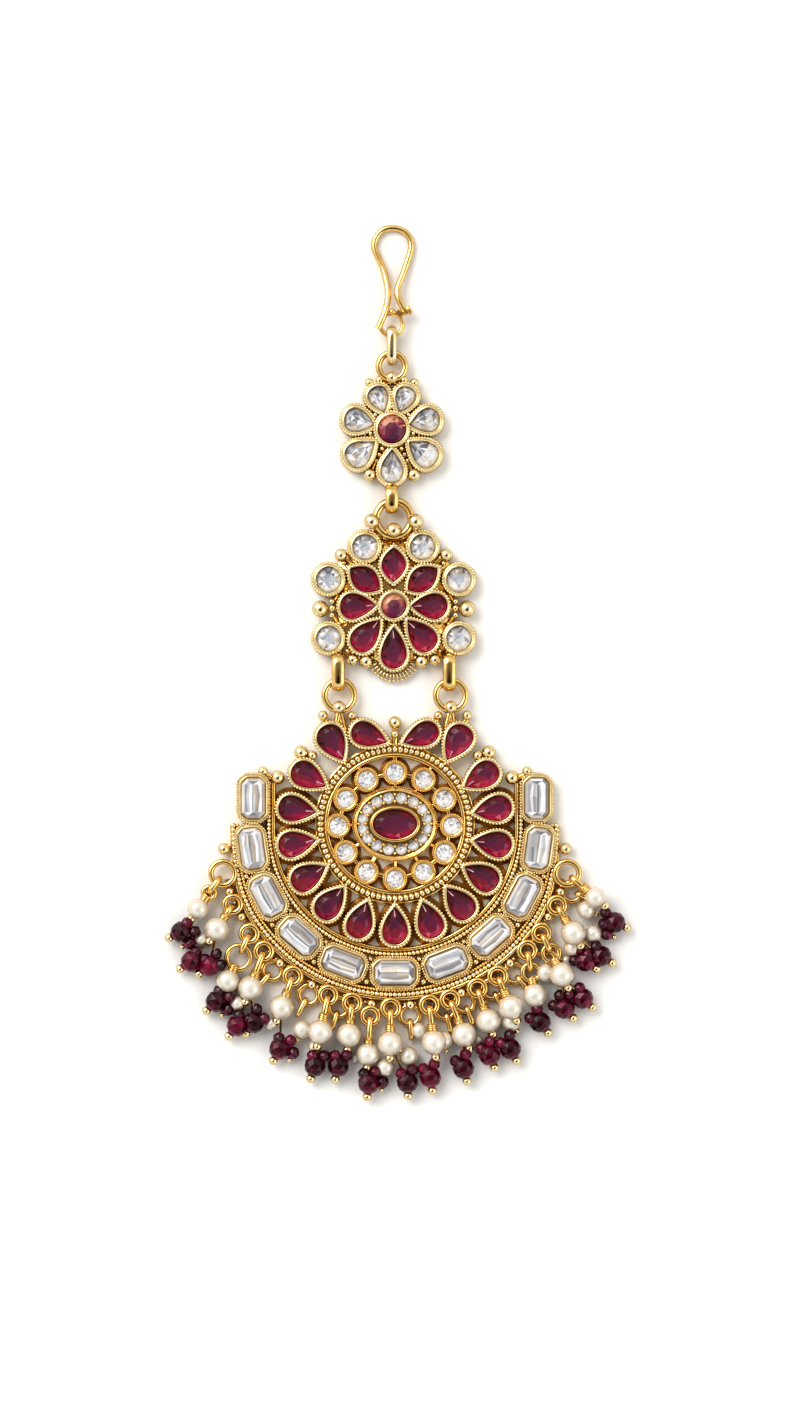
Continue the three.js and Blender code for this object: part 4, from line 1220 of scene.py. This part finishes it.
own_pieces("pear_ruby", "pear_stone", pears, pear_ruby, RUBY)
own_pieces("long_crystal", "long_stone", long_stones, step_stone, CLEAR)
work = Work()
cut_stone(work, OVAL, RUBY_TONES, **OVAL_CUT)
piece("oval_ruby", work.mesh(), RUBY, ["oval_stone"])
crystals("medallion_crystals", (collets, COLLET_CUT), (pave, PAVE_CUT))

# ---------------------------------------------------------------- the flowers

small_petals = [
    radial(teardrop(length, width), angle, distance, SMALL_FLOWER["x"], SMALL_FLOWER["y"])
    for angle, distance, length, width in SMALL_PETALS
]
middle_petals = [
    s.moved(MIDDLE_FLOWER["x"], MIDDLE_FLOWER["y"])
    for s in both_sides(RUBY_PEARS)
    + [pear_between(BOTTOM_PEAR["tip"], BOTTOM_PEAR["round"], BOTTOM_PEAR["width"])]
    + [
        Setting(marquise(length, MARQUISE_WIDTH), x, y, math.radians(turn))
        for x, y, turn, length in RUBY_MARQUISES
    ]
]
middle_rounds = [
    round_setting(MIDDLE_FLOWER["round_stone"], x, y, 32).moved(MIDDLE_FLOWER["x"], MIDDLE_FLOWER["y"])
    for x, y in mirrored(ROUND_PLACES)
]
small_eye, middle_eye = (
    round_setting(flower["middle_stone"], flower["x"], flower["y"])
    for flower in (SMALL_FLOWER, MIDDLE_FLOWER)
)
DISHED_BEZEL = [
    (0.82, 0.14), (0.92, 0.26), (0.92, 1.0), (0.86, 1.7), (0.88, 1.95), (0.76, 2.12), (0.56, 2.2),
    (0.44, 2.3), (0.3, 2.46), (0.16, 2.48), (0.04, 2.34), (-0.04, 2.1), (-0.05, 1.85), (-0.05, 1.4),
]
DISHED_INSET, DISHED_Z = 0.64, 2.04
EYE_RISE = 0.25


def lifted(section):
    """The bezel section of a flower's middle stone, which stands higher."""
    return [(d, z + EYE_RISE if z > 1 else z) for d, z in section]


def small_flower():
    x, y = SMALL_FLOWER["x"], SMALL_FLOWER["y"]
    ring, plate = SMALL_RING, SMALL_PLATE
    made = [
        bezels(([round_setting(plate["radius"], x, y, 40)], plate["section"])),
        wires([circle(x, y + ring["y"], ring["radius"], RING_Z, 40)], ring["wire"], 14),
    ]
    (x1, y1), (x2, y2), z = SMALL_CROSSBAR
    crossbar = short_wire((x + x1, y + y1), (x + x2, y + y2), z)
    made.append(wires([crossbar, *both_wires(SMALL_STRUTS, x, y)], 0.34, 8))
    return made


def small_balls():
    x, y = SMALL_FLOWER["x"], SMALL_FLOWER["y"]
    rows = [(x + bx, y + by, max(1.4, r + 0.2), r + 0.04) for bx, by, r in mirrored(SMALL_BALLS)]
    top_y, top_radius = SMALL_TOP_BALL
    rows.append((x, y + top_y, RING_BALL_Z, top_radius))
    for a in np.radians(SMALL_GAPS):
        rows += [(x + d * math.sin(a), y - d * math.cos(a), z, r) for d, r, z in GAP_BALLS]
    return balls(rows, 14, 9)


def flower_grains(settings, rise=0.0):
    return grains([(s.ring(DISHED_INSET, DISHED_Z + rise), True) for s in settings], DISHED_GRAIN)


metal_piece("small_flower_gilt", small_flower(), GILT, ["small_flower"])
small_walls = bezels((small_petals, DISHED_BEZEL), ([small_eye], lifted(DISHED_BEZEL)))
metal_piece("small_flower_bezels", [small_walls], PALE_GILT, crease=50)
small_grains = [flower_grains(small_petals), flower_grains([small_eye], EYE_RISE), small_balls()]
metal_piece("small_flower_grains", small_grains, PALE_GILT, crease=60)
crystals("small_flower_crystals", *(
    ([setting.resized(-0.04)], {**PETAL_CUT, "shift": pear_shift(setting)}) for setting in small_petals
))
work = Work()
for eye, girdle, table, lift in ((small_eye, 2.2, 2.85, 0.1), (middle_eye, 2.1, 2.7, 0.22)):
    cut_stone(work, eye.resized(-0.03), COPPER_TONES, girdle=girdle, table=table, lift=lift, **EYE_CUT)
piece("flower_eyes", work.mesh(), RUBY)


def middle_flower():
    x, y = MIDDLE_FLOWER["x"], MIDDLE_FLOWER["y"]
    web = softened(np.array(WEB + [(-wx, wy) for wx, wy in reversed(WEB)], float), 0.5, 4)
    ring = MIDDLE_RING
    return [
        bezels(([Setting(web, x, y)], [(-0.15, 0.0), (0, 0.12), (0, 0.45), (-0.15, 0.6)])),
        wires([circle(x, y + ring["y"], ring["radius"], RING_Z, 48)], ring["wire"], 16),
        wires(both_wires(MIDDLE_STRUTS, x, y), *FLOWER_STRUT),
    ]


def middle_balls():
    x, y = MIDDLE_FLOWER["x"], MIDDLE_FLOWER["y"]
    rows = [
        (x + bx, y + by, 2.6 if by > 11 else max(1.4, r + 0.2), r + 0.04)
        for bx, by, r in mirrored(MIDDLE_BALLS) + [MIDDLE_TOP_BALL]
    ]
    for side in (-1, 1):
        rows += [(x + side * SIDE_KNOB_X, y + by, 1.3, r) for by, r in SIDE_KNOBS]
        for start, end, count in TRAILS:
            for bx, by in np.linspace(start, end, count):
                rows.append((x + side * bx, y + by, *TRAIL_GRANULE))
    return balls(rows, 14, 9)


def fan_grains():
    """Ribs that fan out below the bottom petal, each ending in a small ball."""
    x, y = MIDDLE_FLOWER["x"], MIDDLE_FLOWER["y"] + BOTTOM_PEAR["round"][1]
    angles = np.radians(np.linspace(-FAN["last"], FAN["last"], 30))
    ribs, ends = (
        np.array([(x + radius * math.sin(a), y - radius * math.cos(a), z) for a in angles])
        for radius, z in (FAN["ribs"], FAN["ends"])
    )
    return [grains([(ribs, False)], RIB_GRAIN), grains([(ends, False)], RIB_END_GRAIN)]


metal_piece("middle_flower_gilt", middle_flower(), GILT, ["middle_flower"])
metal_piece("middle_flower_balls", [middle_balls()], PALE_GILT, crease=50)
middle_walls = bezels(
    (middle_petals, GRAINED_BEZEL), ([middle_eye], lifted(GRAINED_BEZEL)), (middle_rounds, DISHED_BEZEL),
)
metal_piece("middle_flower_bezels", [middle_walls], PALE_GILT, crease=50)
middle_grains = [
    grained_rows(middle_petals), grained_rows([middle_eye], EYE_RISE), flower_grains(middle_rounds),
    *fan_grains(),
]
metal_piece("middle_flower_grains", middle_grains, PALE_GILT, crease=60)


def petal_ruby(work, setting):
    """The pears come first in the row; a marquise has two points, so its table stays in the middle."""
    is_pear = setting in middle_petals[:2 * len(RUBY_PEARS) + 1]
    cut_stone(
        work, setting, RUBY_TONES, shift=pear_shift(setting) if is_pear else 0.0, table_reflection=RUBY_TABLE_REFLECTION,
        glint=is_pear, scatter=0.6, lift=dice.uniform(-0.14, 0.06), painted_glow=dice.choice((0.03, 0.1, 0.2)),
    )


own_pieces("petal_ruby", "petal_stone", middle_petals, petal_ruby, RUBY)
crystals("middle_flower_crystals", ([setting.resized(-0.04) for setting in middle_rounds], ROUND_CUT))

# ---------------------------------------------------------------- hook and links

def smooth_route(points, steps=10):
    """A smooth curve through the points."""
    points = [np.array(p, float) for p in points]
    points = [2 * points[0] - points[1], *points, 2 * points[-1] - points[-2]]
    route = []
    for a, b, c, d in zip(points, points[1:], points[2:], points[3:]):
        for i in range(steps):
            t = i / steps
            route.append(0.5 * (
                2 * b + (c - a) * t + (2 * a - 5 * b + 4 * c - d) * t ** 2
                + (3 * b - a - 3 * c + d) * t ** 3
            ))
    route.append(points[-2])
    return np.array(route)


def hook_metal():
    ring = HOOK_RING
    solder = [
        ([Setting(softened(cut_corner_box(length, width, 0.2), 0.1), x, y, math.radians(turn))], section)
        for length, width, x, y, turn, section in HOOK_SOLDER
    ]
    return [
        wires([(smooth_route(HOOK_ROUTE), False)], HOOK_WIRE, 16),
        wires([circle(ring["x"], ring["y"], ring["radius"], RING_Z, 40)], ring["wire"], 12),
        balls([HOOK_BALL]),
        bezels(*solder),
    ]


def edge_link(x, low, high, half_width):
    """A link on edge: an oval band in the plane of Y and Z, with a rounded section."""
    middle_z = (LINK["top"] + LINK["bottom"]) / 2
    half_height = (LINK["top"] - LINK["bottom"]) / 2 - LINK["half_wall"]
    reach = (high - low) / 2 - (LINK["top"] - LINK["bottom"]) / 2
    rings = []
    for i in range(56):
        t = 2 * math.pi * i / 56
        end = reach if math.cos(t) > 0 else -reach
        y = (low + high) / 2 + end + half_height * math.cos(t)
        centre = np.array([0, y, middle_z + half_height * math.sin(t)])
        out = np.array([0, math.cos(t), math.sin(t)])
        ring = []
        for k in range(20):
            u = 2 * math.pi * k / 20
            ring.append(centre + out * LINK["half_wall"] * math.cos(u) + (x + half_width * math.sin(u), 0, 0))
        rings.append(np.array(ring))
    work = Work()
    work.stack(rings, True)
    return work.mesh()


metal_piece("hair_hook_gilt", hook_metal(), GILT, ["hair_hook"])
for name, size in LINKS.items():
    finish = PALE_GILT if name == "hook_link" else GILT
    metal_piece(f"{name}_gilt", [edge_link(*size)], finish, [name], crease=60)

# ---------------------------------------------------------------- the fringe

LINK_WIRE = 0.48
LINK_HALF_HEIGHT = 0.96  # so that a link clears the loop it hangs in
LINK_LENGTH = 2.8
INSIDE_LOOP = 0.95  # from a loop's own wire to the end of the link in it
RING_IN_LINK = 1.9  # from a link's upper end to the ring that hangs in it
LONGEST_LINK = 3.5  # a longer way to the pearl takes a link and a ring
RING_WIRE = 0.4
COIL = {"radius": 0.62, "turns": 3, "pitch": 0.34, "wire": 0.22, "taper": 0.1}
THREAD = 0.2
NECK = 0.55  # the part of the strand that the coil takes
SMALL_GARNET = {"radius": 0.98, "back": 1.75, "stagger": 0.25, "across": 0.9, "z": 2.15}
SIDE_GARNET = {"radius": 1.05, "across": 2.2, "back": 0.4, "z": 1.4}
SMALL_FACETS = (8, 5)  # round the thread, and rows along it
PEARL_BALL = {"out": 0.38, "lower": 0.35}
GARNET_BALL = {"out": 0.42, "z": 1.5}
SIDE_BALL = {"out": 1.3, "z": 1.2, "radius": 0.42}
UNDER_BALL = {"out": 0.3, "z": 1.3, "radius": 0.45}
MIDDLE_OF_RIM = (0, RIM_Y)


def pearl_height(row):
    return BED_Z + (LIFT if "under" in row else 0)


def stood_link(start, end, z, half_height, count=28):
    """A link of wire on edge between two flat points."""
    start, end = np.array(start), np.array(end)
    length = np.linalg.norm(end - start)
    along = (end - start) / length
    reach = max(length / 2 - half_height, 0)
    path = []
    for i in range(count):
        t = 2 * math.pi * i / count
        s = (reach if math.cos(t) > 0 else -reach) + half_height * math.cos(t)
        path.append((*((start + end) / 2 + along * s), z + half_height * math.sin(t)))
    return np.array(path), True


def wrap(place, away, z):
    """Turns of wire round the thread, just above a pearl."""
    path = []
    side = np.array([-away[1], away[0]])
    for i in range(COIL["turns"] * 14 + 1):
        t = 2 * math.pi * i / 14
        centre = place - away * (i / 14 * COIL["pitch"])
        swell = COIL["radius"] * (1 - COIL["taper"] * i / (COIL["turns"] * 14))
        path.append((*(centre + side * swell * math.cos(t)), z + swell * math.sin(t)))
    return np.array(path), False


def faceted_bead(work, place, radius, thread, segments=9, rows=6):
    """A bead cut in staggered rows of triangles about its thread."""
    axis = np.array([*thread, 0.0])
    side = np.array([-thread[1], thread[0], 0.0])
    up = np.array([0, 0, 1.0])
    layers = []
    for k in range(rows):
        t = math.pi * (k + 0.75) / (rows + 0.5)
        spin = math.pi / segments * (k % 2)
        layers.append([
            place + radius * (
                axis * math.cos(t)
                + math.sin(t) * (side * math.cos(spin + u) + up * math.sin(spin + u))
            )
            for u in (2 * math.pi * i / segments for i in range(segments))
        ])
    points = [p for layer in layers for p in layer]
    points += [place + axis * radius * 0.93, place - axis * radius * 0.93]
    faces = []
    for k in range(rows - 1):
        low, high = k * segments, (k + 1) * segments
        for i in range(segments):
            j = (i + 1) % segments
            if k % 2:
                faces += [(low + i, low + j, high + j), (low + i, high + j, high + i)]
            else:
                faces += [(low + i, low + j, high + i), (low + j, high + j, high + i)]
    head, tail = len(points) - 2, len(points) - 1
    last = (rows - 1) * segments
    faces += [(head, (i + 1) % segments, i) for i in range(segments)]
    faces += [(tail, last + i, last + (i + 1) % segments) for i in range(segments)]
    body = dice.uniform(0.1, 0.5)
    tints = []
    for face in faces:
        middle = np.mean([points[i] for i in face], 0) - place
        # Painted glow: facets near the thread, toward its outer end, are brighter, as if lit through.
        glow = 1 - min(abs(float(np.dot(middle, side))) / (0.45 * radius), 1)
        out = float(np.dot(middle, axis)) / radius
        tints.append(ramp(GARNET_TONES, body + 0.35 * glow * max(out, 0) + 0.3 * (dice.random() - 0.4)))
    work.add(points, [tuple(face) for face in faces], tints)


def flat_direction(start, end):
    away = np.array(end) - np.array(start)
    return away / np.linalg.norm(away)


def strand_links(row, place, away):
    """What joins a strand's pearl to its loop: one link, or a link and a ring where the way is long."""
    loop = rim_point(*row["loop"])
    first = loop_radius(row) - INSIDE_LOOP
    neck = np.linalg.norm(place - loop) - row["pearl"][2] - NECK
    if neck - first <= LONGEST_LINK:
        ends = loop + away * first, loop + away * (neck + 0.25)
        return [stood_link(*ends, RING_Z, LINK_HALF_HEIGHT)], []
    start, end = first + RING_IN_LINK, neck + 0.2
    link = stood_link(loop + away * first, loop + away * (first + LINK_LENGTH), RING_Z, LINK_HALF_HEIGHT)
    ring = circle(*(loop + away * (start + end) / 2), (end - start) / 2, RING_Z, 24)
    return [link], [ring]


def garnet_cluster(work, row, i):
    """A garnet with two small ones at its collar, and one beside it if the strand has it: end balls."""
    middle = rim_point(*row["garnets"][i])
    out = flat_direction(MIDDLE_OF_RIM, middle)
    across = np.array([-out[1], out[0]])
    faceted_bead(work, np.array([*middle, GARNET + 0.1]), GARNET, out)
    ends = [(*(middle + out * (GARNET + GARNET_BALL["out"])), GARNET_BALL["z"], END_BALL)]
    small = SMALL_GARNET
    for side in (-1, 1):
        back = small["back"] + small["stagger"] * side * (-1) ** i
        near = middle - out * back + across * side * small["across"]
        faceted_bead(work, np.array([*near, small["z"]]), small["radius"], out, *SMALL_FACETS)
    if i == 0 and row.get("side"):
        small = SIDE_GARNET
        beside = middle + across * small["across"] * row["side"] - out * small["back"]
        faceted_bead(work, np.array([*beside, small["z"]]), small["radius"], out, *SMALL_FACETS)
        ends.append((*(beside + out * SIDE_BALL["out"]), SIDE_BALL["z"], SIDE_BALL["radius"]))
    return ends


def drop(number):
    """The strands of one drop: the metal, pearls, garnets and end balls."""
    links, coils, rings, threads, ends, pearls = [], [], [], [], [], []
    garnets = Work()
    for row in STRANDS:
        if row["node"] != number:
            continue
        angle, distance, radius = row["pearl"]
        place = rim_point(angle, distance)
        away = flat_direction(rim_point(*row["loop"]), place)
        z = pearl_height(row)
        for made, kept in zip(strand_links(row, place, away), (links, rings)):
            kept.extend(made)
        coils.append(wrap(place - away * (radius - 0.05), away, z))
        pearls.append((*place, z, radius))
        ends.append((*(place + away * (radius + PEARL_BALL["out"])), z - PEARL_BALL["lower"], END_BALL))
        for i, spot in enumerate(row["garnets"]):
            threads.append((np.array([(*place, z), (*rim_point(*spot), GARNET + 0.1)]), False))
            ends += garnet_cluster(garnets, row, i)
        if "under" in row:
            low = rim_point(*row["under"])
            out = flat_direction(MIDDLE_OF_RIM, low)
            pearls.append((*low, UNDER_PEARL + 0.1, UNDER_PEARL))
            threads.append((np.array([(*place, z), (*low, UNDER_PEARL + 0.1)]), False))
            ball = UNDER_BALL
            ends.append((*(low + out * (UNDER_PEARL + ball["out"])), ball["z"], ball["radius"]))
    metal = [wires(links, LINK_WIRE, 12), wires(coils, COIL["wire"], 8), wires(threads, THREAD, 6)]
    if rings:
        metal.append(wires(rings, RING_WIRE, 10))
    return metal, pearls, garnets, ends


all_ends = []
for number in range(1, max(row["node"] for row in STRANDS) + 1):
    metal, pearls, garnets, ends = drop(number)
    all_ends += ends
    name = f"drop_{number:02d}"
    metal_piece(f"{name}_gilt", metal, GILT, [name], crease=50)
    piece(f"{name}_pearls", joined(name, [balls(pearls, *PEARL_DETAIL)]), NACRE, [name], crease=80)
    piece(f"{name}_garnets", garnets.mesh(), GARNET_GLASS, [name])
metal_piece("drop_end_balls", [balls(all_ends)], PALE_GILT, crease=50)


def low_rings():
    """The second row of rings, with the links that hang from them behind the pearls."""
    low, bar = LOW_RING, LOW_LINK
    rings, bars = [], []
    for angle in LOW_RINGS:
        rings.append(circle(*rim_point(angle, low["distance"]), low["radius"], low["z"], 26))
        start, end = (rim_point(angle, distance) for distance in bar["from_to"])
        bars.append(stood_link(start, end, bar["z"], bar["half_height"]))
    return [wires(rings, low["wire"], 10), wires(bars, bar["wire"], 10)]


def back_pearls():
    """Small pearls of the back row, each as large as fits between its neighbours."""
    taken = []
    for row in STRANDS:
        angle, distance, radius = row["pearl"]
        taken.append((*rim_point(angle, distance), pearl_height(row), radius))
        taken += [(*rim_point(*spot), GARNET + 0.1, GARNET) for spot in row["garnets"]]
        if "under" in row:
            taken.append((*rim_point(*row["under"]), UNDER_PEARL + 0.1, UNDER_PEARL))
    rows = []
    for spot in BACK_PEARLS:
        x, y = rim_point(*spot)
        for radius in np.arange(*BACK_PEARL_RADII):
            gaps = [math.dist((x, y, radius), other[:3]) - radius - other[3] for other in taken + rows]
            if min(gaps) > BACK_PEARL_GAP:
                rows.append((x, y, radius, radius))
                break
    return rows


piece("back_pearls", joined("back", [balls(back_pearls(), *PEARL_DETAIL)]), NACRE, crease=80)
metal_piece("low_rings_gilt", low_rings(), GILT, crease=50)

# ---------------------------------------------------------------- floor, light and camera

FLOOR_HALF = 4.0  # metres, as all of these
HORIZON = (0.55, 0.51, 0.47)
TENT_WALL = (1.0, 1.0, 1.0)
TENT_PATCHES = [  # direction, degrees to where it is full and to where it ends, colour
    ((0.0, -0.12, 0.99), 14, 42, (0.3, 0.27, 0.24)),  # the dim top of the tent
    ((0.7, -0.2, 0.5), 10, 30, (2.0, 1.98, 1.93)),  # the fill
    ((-0.55, 0.5, 0.62), 14, 34, (3.6, 3.56, 3.45)),  # the key
    ((0.0, -0.3, 0.95), 9, 20, (0.01, 0.01, 0.01)),  # the dark opening for the lens
]
TENT_STRENGTH = 0.7
LAMP = {"place": (-0.4, 0.45, 0.7), "aim": (0, 0.02, 0), "size": 0.45, "power": 1.0}
CAMERA = {"x": 0.0008, "y": 0.01936, "seen_height": 0.2248, "lens": 100.0, "sensor": 36.0}


def pale_floor():
    corners = [(-1, -1), (1, -1), (1, 1), (-1, 1)]
    mesh = bpy.data.meshes.new("floor")
    mesh.from_pydata([(x * FLOOR_HALF, y * FLOOR_HALF, 0) for x, y in corners], [], [(0, 1, 2, 3)])
    finish, tree, shader = new_finish("pale_floor")
    where = node(tree, "ShaderNodeTexCoord").outputs["Object"]
    grain = node(tree, "ShaderNodeTexNoise", {"Vector": where, "Scale": 400.0})
    colour = blend_colours(tree, grain.outputs["Fac"], (0.93, 0.93, 0.925), (0.95, 0.95, 0.945))
    feed(tree, shader, {"Base Color": colour, "Roughness": 0.8, "Specular IOR Level": 0.2})
    mesh.materials.append(finish)
    linked("floor", mesh)


def studio():
    """A light tent: bright all round, a dark opening overhead for the lens, and a dim horizon."""
    world = bpy.data.worlds.new("light_tent")
    bpy.context.scene.world = world
    world.use_nodes = True
    tree = world.node_tree
    where = node(tree, "ShaderNodeTexCoord").outputs["Generated"]

    def patch(direction, full, end):
        """1 toward a direction, falling to 0; full and end are degrees."""
        dot = node(
            tree, "ShaderNodeVectorMath", {0: where, 1: Vector(direction).normalized()},
            operation="DOT_PRODUCT",
        )
        return node(tree, "ShaderNodeMapRange", {
            "Value": dot.outputs["Value"], "From Min": math.cos(math.radians(end)),
            "From Max": math.cos(math.radians(full)),
        }, interpolation_type="SMOOTHSTEP").outputs["Result"]

    sky = blend_colours(tree, patch((0, 0, 1), 62, 88), HORIZON, TENT_WALL)
    for direction, full, end, colour in TENT_PATCHES:
        sky = blend_colours(tree, patch(direction, full, end), sky, colour)
    feed(tree, tree.nodes["Background"], {"Color": sky, "Strength": TENT_STRENGTH})


def key_lamp():
    data = bpy.data.lights.new("key", "AREA")
    data.size = LAMP["size"]
    data.energy = LAMP["power"]
    lamp = linked("key", data)
    lamp.location = LAMP["place"]
    toward = Vector(LAMP["aim"]) - Vector(LAMP["place"])
    lamp.rotation_euler = toward.to_track_quat("-Z", "Y").to_euler()


def camera():
    """Straight above, with a long lens, so that the ornament fills the frame as it lies."""
    data = bpy.data.cameras.new("camera")
    data.lens = CAMERA["lens"]
    data.sensor_width = CAMERA["sensor"]
    data.clip_start, data.clip_end = 0.01, 10.0
    made = linked("camera", data)
    made.location = (CAMERA["x"], CAMERA["y"], CAMERA["seen_height"] * CAMERA["lens"] / CAMERA["sensor"])
    bpy.context.scene.camera = made


pale_floor()
studio()
key_lamp()
camera()
bpy.context.scene.view_settings.view_transform = "Standard"
bpy.context.scene.view_settings.look = "High Contrast"
